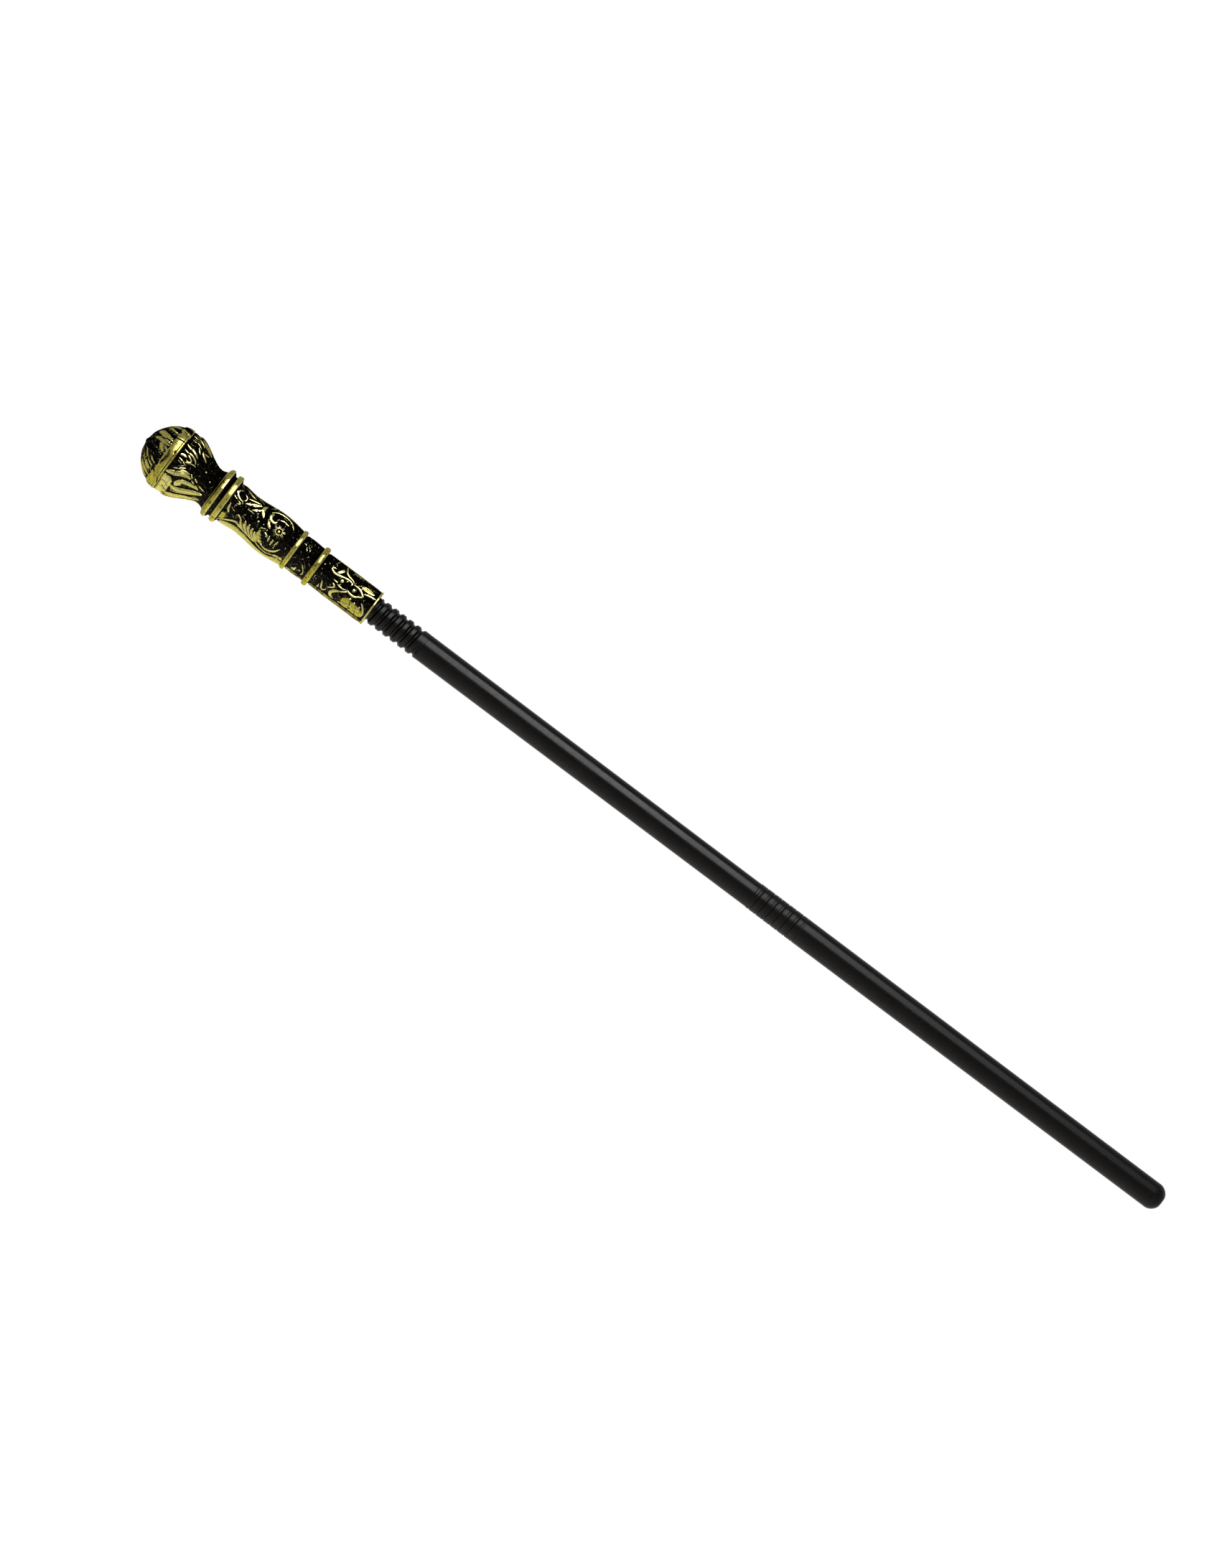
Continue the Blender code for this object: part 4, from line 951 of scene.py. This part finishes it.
def join(value, socket):
    """Sets an input to a value or joins it to an output."""
    if isinstance(value, Output):
        socket.id_data.links.new(value.socket, socket)
    else:
        socket.default_value = value


def add_node(tree, kind, inputs=None, **settings):
    """A node with its settings and its inputs."""
    node = tree.nodes.new(kind)
    for key, value in settings.items():
        setattr(node, key, value)
    for key, value in (inputs or {}).items():
        join(value, node.inputs[key])
    return node


def made(tree, kind, inputs=None, output=0, **settings):
    """One output of a new node."""
    return Output(add_node(tree, kind, inputs, **settings).outputs[output])


def band(value, low, high):
    """A soft change from 0 to 1 as an output goes from low to high."""
    inputs = {"Value": value, "From Min": low, "From Max": high}
    return made(value.tree, "ShaderNodeMapRange", inputs, "Result", interpolation_type="SMOOTHSTEP")


def helix_tree():
    """Geometry nodes that press a helical groove into a finely divided turned piece."""
    name = "Helical groove"
    if name in bpy.data.node_groups:
        return bpy.data.node_groups[name]
    tree = bpy.data.node_groups.new(name, "GeometryNodeTree")
    tree.is_modifier = True
    sizes = ("Start", "End", "Pitch", "Depth", "Mouth", "Floor", "Phase", "Run out", "Least radius",
             "Most radius")
    inputs = [("Geometry", "Geometry"), *((size, "Float") for size in sizes), ("Material", "Material")]
    for label, kind in inputs:
        tree.interface.new_socket(label, in_out="INPUT", socket_type="NodeSocket" + kind)
    tree.interface.new_socket("Geometry", in_out="OUTPUT", socket_type="NodeSocketGeometry")
    given = tree.nodes.new("NodeGroupInput").outputs
    start, end, pitch, depth, mouth, floor, phase, run_out, least, most = (
        Output(given[size]) for size in sizes
    )
    spot = made(tree, "GeometryNodeInputPosition")
    x, y, z = map(Output, add_node(tree, "ShaderNodeSeparateXYZ", {0: spot}).outputs)
    turns = (z - start) / pitch + y.sum("ARCTAN2", x) / math.tau - phase
    away = (turns - turns.sum("ROUND")) * pitch
    middle = z - away
    cut = band(away.sum("ABSOLUTE"), mouth * 0.5, floor * 0.5)
    press = cut * (band(middle, start, start + run_out) * band(middle, end, end - run_out)) * depth
    flat = made(tree, "ShaderNodeCombineXYZ", {0: x, 1: y, 2: 0.0})
    radius = made(tree, "ShaderNodeVectorMath", {0: flat}, "Value", operation="LENGTH")
    inward = made(tree, "ShaderNodeVectorMath", {0: flat}, "Vector", operation="NORMALIZE")
    move = made(tree, "ShaderNodeVectorMath", {0: inward, "Scale": press * -1.0}, "Vector", operation="SCALE")
    chosen = radius.sum("GREATER_THAN", least) * radius.sum("LESS_THAN", most)
    inputs = {"Geometry": Output(given["Geometry"]), "Selection": chosen, "Offset": move}
    moved = made(tree, "GeometryNodeSetPosition", inputs)
    # How deep in a groove each place lies is kept for the material, with what earlier grooves left; the
    # material uses it to paint shade into the grooves
    earlier = made(tree, "GeometryNodeInputNamedAttribute", {"Name": "cut"}, data_type="FLOAT")
    share = press.sum("DIVIDE", 0.42 * MM, clamp=True)
    inputs = {"Geometry": moved, "Name": "cut", "Value": earlier.sum("MAXIMUM", chosen * share)}
    kept = made(tree, "GeometryNodeStoreNamedAttribute", inputs, data_type="FLOAT", domain="POINT")
    real = made(tree, "GeometryNodeRealizeInstances", {"Geometry": kept})
    painted = made(tree, "GeometryNodeSetMaterial", {"Geometry": real, "Material": Output(given["Material"])})
    join(painted, tree.nodes.new("NodeGroupOutput").inputs["Geometry"])
    return tree


def groove(obj, material, **sizes):
    """Presses one helical groove into a piece and keeps the result as its plain mesh."""
    tree = helix_tree()
    modifier = obj.modifiers.new("groove", "NODES")
    modifier.node_group = tree
    values = {key.replace("_", " ").capitalize(): value for key, value in sizes.items()}
    values["Material"] = material
    for item in tree.interface.items_tree:
        if item.in_out == "INPUT" and item.name in values:
            modifier[item.identifier] = values.pop(item.name)
    if values:
        raise RuntimeError(f"the helical groove has no input {sorted(values)}")
    graph = bpy.context.evaluated_depsgraph_get()
    mesh = bpy.data.meshes.new_from_object(obj.evaluated_get(graph))
    obj.modifiers.clear()
    obj.data = mesh
    mesh.shade_smooth()
    mesh.set_sharp_from_angle(angle=math.radians(50))


def thread(obj, material, start, end, least, most, run_out=2, inside=False):
    """A joining screw's thread, from heights and radii in mm: sunk in a screw, and standing out in a bore."""
    sizes = bpy.context.scene.stick_shafts
    mouth = 0.7 if inside else 0.8
    groove(
        obj,
        material,
        start=start * MM,
        end=end * MM,
        pitch=sizes.thread_pitch,
        depth=-sizes.thread_depth if inside else sizes.thread_depth,
        mouth=sizes.thread_pitch * mouth,
        floor=sizes.thread_pitch * mouth / 2,
        phase=0.0,
        run_out=run_out * MM,
        least_radius=least * MM,
        most_radius=most * MM,
    )


def noise(tree, spot, scale, detail, distortion=0.0):
    """A field of even noise."""
    inputs = {"Vector": spot, "Scale": scale, "Detail": detail, "Distortion": distortion}
    return made(tree, "ShaderNodeTexNoise", inputs)


def moulded_grain(tree, spot, scale, coarse_share):
    """Fine cast or moulded grain: a height, and how much it changes the gloss."""
    small = noise(tree, spot, scale, 3.0)
    large = noise(tree, spot, scale * 0.16, 2.0)
    return (large - small).sum("MULTIPLY_ADD", coarse_share, small), large - 0.5


def smudges(tree, spot, scale, low, high):
    """Uneven patches: thin finish, old wash or handling marks."""
    cloud = noise(tree, spot, scale, 5.0, 0.6)
    return band(cloud, low, high), cloud


def scuffs(tree, spot, scale, amount):
    """Hair-fine scuffs that run mostly round the stick."""
    inputs = {"Vector": spot, "Rotation": (0.5, 0.2, 0.0), "Scale": (0.06, 0.06, 1.0)}
    lines = noise(tree, made(tree, "ShaderNodeMapping", inputs), scale, 2.0)
    patches = noise(tree, spot, 60.0, 2.0)
    return (band(lines, 0.66, 0.74) * band(patches, 0.5, 0.7) * amount,)


# Effects for the materials: how they are made, their inputs and their outputs
EFFECTS = {
    "Moulded grain": (moulded_grain, ("Scale", "Coarse share"), ("Height", "Gloss change")),
    "Smudges": (smudges, ("Scale", "Low", "High"), ("Mask", "Field")),
    "Scuffs": (scuffs, ("Scale", "Amount"), ("Mask",)),
}


def effect(tree, name, *values):
    """The outputs of an effect's node group with these values for its inputs. The group is made once."""
    make, inputs, outputs = EFFECTS[name]
    group = bpy.data.node_groups.get(name)
    if not group:
        group = bpy.data.node_groups.new(name, "ShaderNodeTree")
        for side, labels in (("INPUT", inputs), ("OUTPUT", outputs)):
            for label in labels:
                group.interface.new_socket(label, in_out=side, socket_type="NodeSocketFloat")
        given = group.nodes.new("NodeGroupInput").outputs
        result = group.nodes.new("NodeGroupOutput").inputs
        spot = made(group, "ShaderNodeTexCoord", output="Object")
        for label, value in zip(outputs, make(group, spot, *(Output(given[label]) for label in inputs))):
            join(value, result[label])
    node = add_node(tree, "ShaderNodeGroup", dict(zip(inputs, values)), node_tree=group)
    return {label: Output(node.outputs[label]) for label in outputs}


def mixed_colour(share, first, second):
    """A colour between two colours or outputs."""
    first, second = (value if isinstance(value, Output) else (*value, 1) for value in (first, second))
    return made(share.tree, "ShaderNodeMix", {0: share, 6: first, 7: second}, 2, data_type="RGBA")


def scaled(colour, share):
    """A colour made darker or paler."""
    return tuple(share * channel for channel in colour)


def attribute(tree, name):
    """A value that the mesh holds at its points."""
    return made(tree, "ShaderNodeAttribute", output="Fac", attribute_name=name)


def new_material(name, colour):
    """(material, its node tree, its shader) with the colour also set for the viewport."""
    material = bpy.data.materials.new(name)
    material.use_nodes = True
    material.diffuse_color = (*colour, 1)
    return material, material.node_tree, material.node_tree.nodes["Principled BSDF"]


def finish_shader(shader, grain, strength, distance, values):
    """Gives a shader its inputs and the bumps of its grain."""
    for key, value in values.items():
        join(value, shader.inputs[key])
    inputs = {"Strength": strength, "Distance": distance * MM, "Height": grain["Height"]}
    join(made(shader.id_data, "ShaderNodeBump", inputs), shader.inputs["Normal"])


def gold_material():
    """Antique gold over a dark wash: bright on the carving, near black in the hollows, uneven between."""
    name = "Antique gold with dark wash"
    if name in bpy.data.materials:
        return bpy.data.materials[name]
    finish = bpy.context.scene.stick_finishes
    material, tree, shader = new_material(name, finish.gold)
    hollow = attribute(tree, "hollow")
    grain = effect(tree, "Moulded grain", 2400.0, 0.55)
    patches = effect(tree, "Smudges", 210.0, 0.5, 0.72)
    tint = effect(tree, "Smudges", 420.0, 0.42, 0.7)
    specks = effect(tree, "Smudges", 760.0, 0.57, 0.66)
    thin = effect(tree, "Smudges", 560.0, 0.52, 0.68)
    # Convex edges and raised parts are marked for paler gold: partly rubbed wear, partly a painted highlight
    edges = band(hollow, -0.04, -0.3) * 0.7
    rubbed_and_highlight = edges.sum("MAXIMUM", band(attribute(tree, "proud"), 0.12, 0.5) * 0.6)
    lifted = (patches["Field"] - 0.5).sum("MULTIPLY_ADD", -0.5, attribute(tree, "relief"))
    dark = band(lifted, 0.78, 0.46).sum("MAXIMUM", band(hollow, 0.05, 0.2))
    dark = dark.sum("MAXIMUM", patches["Mask"] * 0.35, clamp=True)
    # Small pits of wash are left where the gold isn't rubbed
    unrubbed = rubbed_and_highlight.sum("MULTIPLY_ADD", -1.5, 0.8, clamp=True)
    dark = dark.sum("MAXIMUM", specks["Mask"] * unrubbed, clamp=True)
    colour = mixed_colour(tint["Mask"] * 0.6, finish.gold, finish.old_gold)
    colour = mixed_colour(band(dark, 0.0, 0.5), colour, scaled(finish.old_gold, 0.6))
    # Paler gold on edges and raised parts: partly rubbed wear, partly a painted highlight
    colour = mixed_colour(rubbed_and_highlight, colour, finish.rubbed_and_highlight_gold)
    # The wash isn't even: worn gold shows dimly through it here and there
    wash = mixed_colour(thin["Mask"], finish.patina, finish.thin_patina)
    rough = dark.sum("MULTIPLY_ADD", 0.12, finish.gold_roughness)
    values = {
        "Base Color": mixed_colour(band(dark, 0.35, 1.0), colour, wash),
        "Roughness": grain["Gloss change"].sum("MULTIPLY_ADD", 0.25, rough, clamp=True),
        "Metallic": dark.sum("MULTIPLY_ADD", -finish.metallic, finish.metallic, clamp=True),
        "Coat Weight": dark.sum("MULTIPLY_ADD", -finish.coat, finish.coat, clamp=True),
        "Coat Roughness": finish.coat_roughness,
        "Coat IOR": 2.2,
        "Specular Tint": (*finish.gloss_tint, 1),
        "Specular IOR Level": 0.0,
    }
    finish_shader(shader, grain, 0.35, 0.12, values)
    return material


def black_material(name, grain_scale, rougher, paler):
    """Satin black plastic with moulded grain, faint handling marks, a few fine scuffs and painted shade in
    its grooves.
    """
    if name in bpy.data.materials:
        return bpy.data.materials[name]
    finish = bpy.context.scene.stick_finishes
    base = scaled(finish.black, paler)
    material, tree, shader = new_material(name, base)
    grain = effect(tree, "Moulded grain", grain_scale, 0.4)
    patches = effect(tree, "Smudges", 70.0, 0.4, 0.75)
    scratches = effect(tree, "Scuffs", 900.0, 0.3)
    colour = mixed_colour(patches["Mask"] * 0.4, base, scaled(base, 1.5))
    colour = mixed_colour(scratches["Mask"], colour, scaled(base, 3))
    rough = patches["Field"].sum("MULTIPLY_ADD", 0.16, finish.black_roughness + rougher - 0.08)
    values = {
        # Painted shade: the base colour is darkened in the grooves by how deep they are
        "Base Color": mixed_colour(attribute(tree, "cut") * 0.85, colour, scaled(base, 0.1)),
        "Roughness": grain["Gloss change"].sum("MULTIPLY_ADD", 0.2, rough, clamp=True),
        "Specular IOR Level": 0.05,
    }
    finish_shader(shader, grain, 0.15, 0.05, values)
    return material


def fitting_material():
    """Moulded plastic of the screwed fittings."""
    return black_material("Moulded black plastic", 1500.0, 0.0, 1.0)


def tube_material():
    """Satin painted tube."""
    return black_material("Satin black tube", 2600.0, -0.06, 0.85)


def dress(obj, body, node, material):
    """Gives a piece its material, parents it to the empty of the body that carries it, and hides the solid it
    stands for.
    """
    obj.data.materials.clear()
    obj.data.materials.append(material)
    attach(obj, body)
    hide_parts(node)
    return obj


class STICK_OT_knob_cap(bpy.types.Operator):
    """Makes the carved cap of the knob"""

    bl_idname = "stick.knob_cap"
    bl_label = "Knob cap"

    def execute(self, context):
        cap = make_knob_cap("knob_cap_carved", context.scene.stick_handle)
        dress(cap, "handle", "knob_cap", gold_material())
        return {"FINISHED"}


class STICK_OT_half_shells(bpy.types.Operator):
    """Makes the two carved halves of the handle"""

    bl_idname = "stick.half_shells"
    bl_label = "Half shells"

    def execute(self, context):
        for side, turn_deg in (("front", 0), ("rear", 180)):
            for part, low, high in HALF_LENGTHS:
                name = f"{side}_{part}_carved"
                length = make_shell_length(name, context.scene.stick_handle, turn_deg, low, high)
                dress(length, "handle", f"handle_{side}_shell", gold_material())
        return {"FINISHED"}


class STICK_OT_bush(bpy.types.Operator):
    """Makes the threaded bush inside the sleeve"""

    bl_idname = "stick.bush"
    bl_label = "Threaded bush"

    def execute(self, context):
        bottom = MOUTH + 1.1
        top = MOUTH + 51.2
        bore, flange, side = 8.5, 12.6, BUSH_SEAT - SEAT_GAP
        loop = [(flange, top), (flange, top - WALL), (side, top - WALL), (side, bottom), (9.2, bottom)]
        loop += [*fine((bore, bottom + 0.8), (bore, top - 0.6)), (8.9, top)]
        bush = turned_solid("bush_threaded", loop)
        inner = KEY_REACH - 1.2
        for low, high in ((-KEY_REACH, -inner), (inner, KEY_REACH)):
            add_bar(bush, (low, -KEY_HALF_WIDTH, KEY_LOW), (high, KEY_HALF_WIDTH, KEY_HIGH))
        material = fitting_material()
        thread(bush, material, bottom - 3, bottom + 40, least=8.0, most=8.6, run_out=3, inside=True)
        dress(bush, "handle", "handle_bush", material)
        return {"FINISHED"}


class STICK_OT_neck(bpy.types.Operator):
    """Makes the spiral neck with its screw and plug"""

    bl_idname = "stick.neck"
    bl_label = "Spiral neck"

    def execute(self, context):
        sizes = context.scene.stick_shafts
        shoulder = NECK_FOOT + SEAT_GAP
        foot = shoulder - 0.25
        land = MOUTH + 0.8
        top = land + 36
        end = shoulder - PLUG_LENGTH
        screw, collar, neck_radius = 8.2, 9.75, 10.25
        loop = [(UPPER_PLUG_HOLLOW, top), (7.2, top), *fine((screw, top - 1), (screw, land))]
        loop += [(9.55, land), (collar, land - 0.25), (collar, MOUTH - 1.5), (10.1, MOUTH - 1.85)]
        loop += fine((neck_radius, MOUTH - 2.1), (neck_radius, shoulder + 0.2), 0.22)
        loop += [(10.2, foot + 0.05), (10.1, foot), (UPPER_PLUG, foot), (UPPER_PLUG, end + 1)]
        loop += [(UPPER_PLUG - 1, end), (UPPER_PLUG_HOLLOW, end)]
        neck = turned_solid("neck_spiral", loop)
        material = fitting_material()
        groove(
            neck,
            material,
            start=(shoulder + 1.5) * MM,
            end=(MOUTH + 1.0) * MM,
            pitch=sizes.neck_pitch,
            depth=sizes.neck_depth,
            mouth=4.3 * MM,
            floor=0.4 * MM,
            phase=240 / 360,
            run_out=sizes.neck_pitch / 8,
            least_radius=9.0 * MM,
            most_radius=11 * MM,
        )
        thread(neck, material, land + 0.5, top + 2, least=7.9, most=8.3)
        dress(neck, "upper_shaft", "neck_screw", material)
        return {"FINISHED"}


class STICK_OT_tubes(bpy.types.Operator):
    """Makes the two plain tubes"""

    bl_idname = "stick.tubes"
    bl_label = "Tubes"

    def execute(self, context):
        # Top and bottom of each tube, its radius at either end, and the radius of the plug in it
        tubes = (
            ("upper", NECK_FOOT, JOINT + 0.06, 10.2, 9.9, UPPER_PLUG),
            ("lower", COLLAR_FOOT, TIP_SEAM, 10.25, 9.95, LOWER_PLUG),
        )
        for side, top, bottom, wide, narrow, plug in tubes:
            bore = plug + SEAT_GAP
            loop = [(bore + 0.2, top), (wide - 0.1, top), (wide - 0.03, top - 0.03), (wide, top - 0.1)]
            loop += [*fine((wide, top - 0.4), (narrow, bottom + 0.4), 12), (narrow, bottom + 0.1)]
            loop += [(narrow - 0.03, bottom + 0.03), (narrow - 0.1, bottom), (bore + 0.2, bottom)]
            loop += [(bore, bottom + 0.2), (bore, top - 0.2)]
            tube = turned_solid(f"{side}_tube_satin", loop)
            dress(tube, f"{side}_shaft", f"{side}_tube", tube_material())
        return {"FINISHED"}


class STICK_OT_joint_screw(bpy.types.Operator):
    """Makes the screw at the lower end of the upper shaft"""

    bl_idname = "stick.joint_screw"
    bl_label = "Joint screw"

    def execute(self, context):
        tube_end = JOINT + SEAT_GAP
        top = tube_end + PLUG_LENGTH
        end = tube_end - 34
        screw = 7.15
        loop = [(UPPER_PLUG_HOLLOW, top), (UPPER_PLUG - 1, top), (UPPER_PLUG, top - 1)]
        loop += [(UPPER_PLUG, tube_end), *fine((screw, tube_end), (screw, end + 1))]
        loop += [(screw - 1, end), (UPPER_PLUG_HOLLOW, end)]
        piece = turned_solid("joint_screw_threaded", loop)
        material = fitting_material()
        thread(piece, material, end - 2, tube_end - 0.6, least=6.9, most=7.3)
        dress(piece, "upper_shaft", "joint_screw", material)
        return {"FINISHED"}


class STICK_OT_collar(bpy.types.Operator):
    """Makes the grooved collar of the lower shaft, a socket with its own thread"""

    bl_idname = "stick.collar"
    bl_label = "Grooved collar"

    def execute(self, context):
        sizes = context.scene.stick_shafts
        top = JOINT
        shoulder = COLLAR_FOOT + SEAT_GAP
        foot = shoulder - 0.25
        end = shoulder - PLUG_LENGTH
        socket, bore = top - 35.5, 7.45
        floor = min(socket, shoulder) - 3
        loop = [(0, socket), *fine((bore, socket), (bore, top - 0.8)), (7.8, top), (9.85, top)]
        loop += [(10.05, top - 0.08), *fine((10.15, top - 0.3), (10.25, foot), 0.16)]
        loop += [(LOWER_PLUG, foot), (LOWER_PLUG, end + 1)]
        loop += [(LOWER_PLUG - 1, end), (LOWER_PLUG_HOLLOW, end), (LOWER_PLUG_HOLLOW, floor), (0, floor)]
        collar = turned_solid("joint_collar_grooved", loop)
        material = fitting_material()
        # Two grooves and a low ridge between them: how far down each starts, then its depth, mouth and floor
        starts = ((0, 0.4, 0.8, 0.1), (2.2, 1, 1.2, 0.2), (1.1, -0.2, 1.2, 0.3))
        for drop, share, mouth, bed in starts:
            groove(
                collar,
                material,
                start=(shoulder + 1) * MM,
                end=(top - 1) * MM,
                pitch=sizes.collar_pitch,
                depth=share * sizes.collar_depth,
                mouth=mouth * MM,
                floor=bed * MM,
                phase=7.5 / 360 - drop * MM / sizes.collar_pitch,
                run_out=sizes.collar_pitch / 8,
                least_radius=9.5 * MM,
                most_radius=11 * MM,
            )
        thread(collar, material, socket + 2, top + 2, least=7.0, most=7.6, inside=True)
        dress(collar, "lower_shaft", "joint_collar", material)
        return {"FINISHED"}


class STICK_OT_tip(bpy.types.Operator):
    """Makes the blunt tip with its plug"""

    bl_idname = "stick.tip"
    bl_label = "Tip"

    def execute(self, context):
        seam = TIP_SEAM - SEAT_GAP
        top = seam + 18
        flat, reach = 2.5, 7.45
        loop = [(0, seam + 3), (LOWER_PLUG_HOLLOW, seam + 3), (LOWER_PLUG_HOLLOW, top), (LOWER_PLUG - 1, top)]
        loop += [(LOWER_PLUG, top - 1), (LOWER_PLUG, seam + 0.25), (9.85, seam + 0.25), (9.93, seam + 0.2)]
        for t in np.linspace(math.pi / 2 - 0.05, 0, 36):
            loop.append((flat + reach * math.sin(t) ** DOME_POWER, seam * (1 - math.cos(t) ** DOME_POWER)))
        tip = turned_solid("tip_blunt", [*loop, (0, 0)])
        dress(tip, "lower_shaft", "tip_plug", fitting_material())
        return {"FINISHED"}


class STICK_OT_stage(bpy.types.Operator):
    """Sets up the floor, the lamps, the sky and the camera"""

    bl_idname = "stick.stage"
    bl_label = "Stage"

    def execute(self, context):
        stage = context.scene.stick_stage
        back = Vector((math.sin(stage.azimuth), -math.cos(stage.azimuth), 0))
        make_floor()
        make_sky(stage)
        make_camera(stage, back)
        make_lamps(stage, back)
        context.scene.view_settings.view_transform = "Standard"
        return {"FINISHED"}


def white_to_eye(tree):
    """1 where a ray comes from the camera, from a shiny surface or through glass."""
    ray = add_node(tree, "ShaderNodeLightPath").outputs
    camera, glossy, through = (Output(ray[f"Is {kind} Ray"]) for kind in ("Camera", "Glossy", "Transmission"))
    return camera.sum("MAXIMUM", glossy).sum("MAXIMUM", through, clamp=True)


def make_floor():
    """A pale disc that keeps a soft shadow, just below where the tip comes when both joints are apart."""
    mesh = bpy.data.meshes.new("floor")
    shape = bmesh.new()
    reach = sum(joint["range_m"][1] for joint in frame["record"]["behaviour"]["joints"])
    place = Matrix.Translation((0, 0, -reach - 3 * MM))
    bmesh.ops.create_circle(shape, cap_ends=True, segments=96, radius=8.0, matrix=place)
    shape.to_mesh(mesh)
    shape.free()
    floor = placed_object("floor", mesh)
    pale = (0.9, 0.9, 0.9)
    material, tree, shader = new_material("White studio floor", pale)
    for key, value in (("Base Color", (*pale, 1)), ("Roughness", 0.9), ("Specular IOR Level", 0.0)):
        shader.inputs[key].default_value = value
    glow = made(tree, "ShaderNodeEmission", {"Color": (1, 1, 1, 1), "Strength": 1.16})
    inputs = {0: white_to_eye(tree) * 0.86, 1: Output(shader.outputs[0]), 2: glow}
    join(made(tree, "ShaderNodeMixShader", inputs), tree.nodes["Material Output"].inputs["Surface"])
    mesh.materials.append(material)


def make_sky(stage):
    """A white world to the eye, and a dimmer even light for matt surfaces."""
    world = bpy.data.worlds.new("Studio")
    world.use_nodes = True
    bpy.context.scene.world = world
    tree = world.node_tree
    background = tree.nodes["Background"]
    background.inputs["Color"].default_value = (1, 1, 1, 1)
    join(white_to_eye(tree).sum("MULTIPLY_ADD", 1 - stage.sky, stage.sky), background.inputs["Strength"])


def make_camera(stage, back):
    """The camera at the photograph's angle, rolled so that the stick leans as it does there."""
    up = Vector((0, 0, 1))
    level = up.cross(back)
    right = LEAN_COS * level - LEAN_SIN * up
    top = LEAN_SIN * level + LEAN_COS * up
    pixel = PIXEL * MM
    middle = Vector((0, 0, KNOB_TOP * MM / 2)) - MIDDLE_RIGHT * pixel * right + MIDDLE_DOWN * pixel * top
    data = bpy.data.cameras.new("camera")
    data.sensor_fit = "VERTICAL"
    data.sensor_height = 36
    data.lens = data.sensor_height * stage.distance / (PHOTO_HEIGHT * pixel)
    data.clip_end = 50
    camera = placed_object("camera", data)
    turn = Matrix((right, top, back)).transposed().to_4x4()
    camera.matrix_world = Matrix.Translation(middle + back * stage.distance) @ turn
    bpy.context.scene.camera = camera


def make_lamps(stage, back):
    """Lamps for the gleam on one side, which only the gloss shows, and a soft one on the other."""
    for name, turn_deg, away, height, size, share, soft in LAMPS:
        data = bpy.data.lights.new(name, "AREA")
        data.shape = "RECTANGLE"
        data.size, data.size_y = size
        data.energy = share * (stage.fill_power if soft else stage.key_power)
        lamp = placed_object(name, data)
        lamp.visible_camera = False
        lamp.visible_diffuse = soft
        lamp.visible_glossy = not soft
        toward = Matrix.Rotation(math.radians(turn_deg), 3, "Z") @ back
        spot = toward * away + Vector((0, 0, height))
        lamp.matrix_world = Matrix.Translation(spot) @ toward.to_track_quat("Z", "Y").to_matrix().to_4x4()


class STICK_PT_panel(bpy.types.Panel):
    """Lists the stick's pieces and settings"""

    bl_label = "Walking stick"
    bl_idname = "STICK_PT_panel"
    bl_space_type = "VIEW_3D"
    bl_region_type = "UI"
    bl_category = "Stick"

    def draw(self, context):
        column = self.layout.column()
        for operator in OPERATORS:
            column.operator(operator.bl_idname)
        for group in GROUPS:
            settings = getattr(context.scene, group)
            for key in settings.bl_rna.properties.keys():
                if key not in ("rna_type", "name"):
                    column.prop(settings, key)


OPERATORS = (
    STICK_OT_knob_cap,
    STICK_OT_half_shells,
    STICK_OT_bush,
    STICK_OT_neck,
    STICK_OT_tubes,
    STICK_OT_joint_screw,
    STICK_OT_collar,
    STICK_OT_tip,
    STICK_OT_stage,
)
GROUPS = {
    "stick_handle": StickHandleSizes,
    "stick_shafts": StickShaftSizes,
    "stick_finishes": StickFinishes,
    "stick_stage": StickStageSettings,
}


def register():
    for name, group in GROUPS.items():
        bpy.utils.register_class(group)
        setattr(bpy.types.Scene, name, PointerProperty(type=group))
    for kind in (*OPERATORS, STICK_PT_panel):
        bpy.utils.register_class(kind)


def unregister():
    for kind in (STICK_PT_panel, *reversed(OPERATORS)):
        bpy.utils.unregister_class(kind)
    for name, group in GROUPS.items():
        delattr(bpy.types.Scene, name)
        bpy.utils.unregister_class(group)


def main():
    register()
    for operator in OPERATORS:
        section, call = operator.bl_idname.split(".")
        getattr(getattr(bpy.ops, section), call)()


if __name__ == "__main__":
    main()
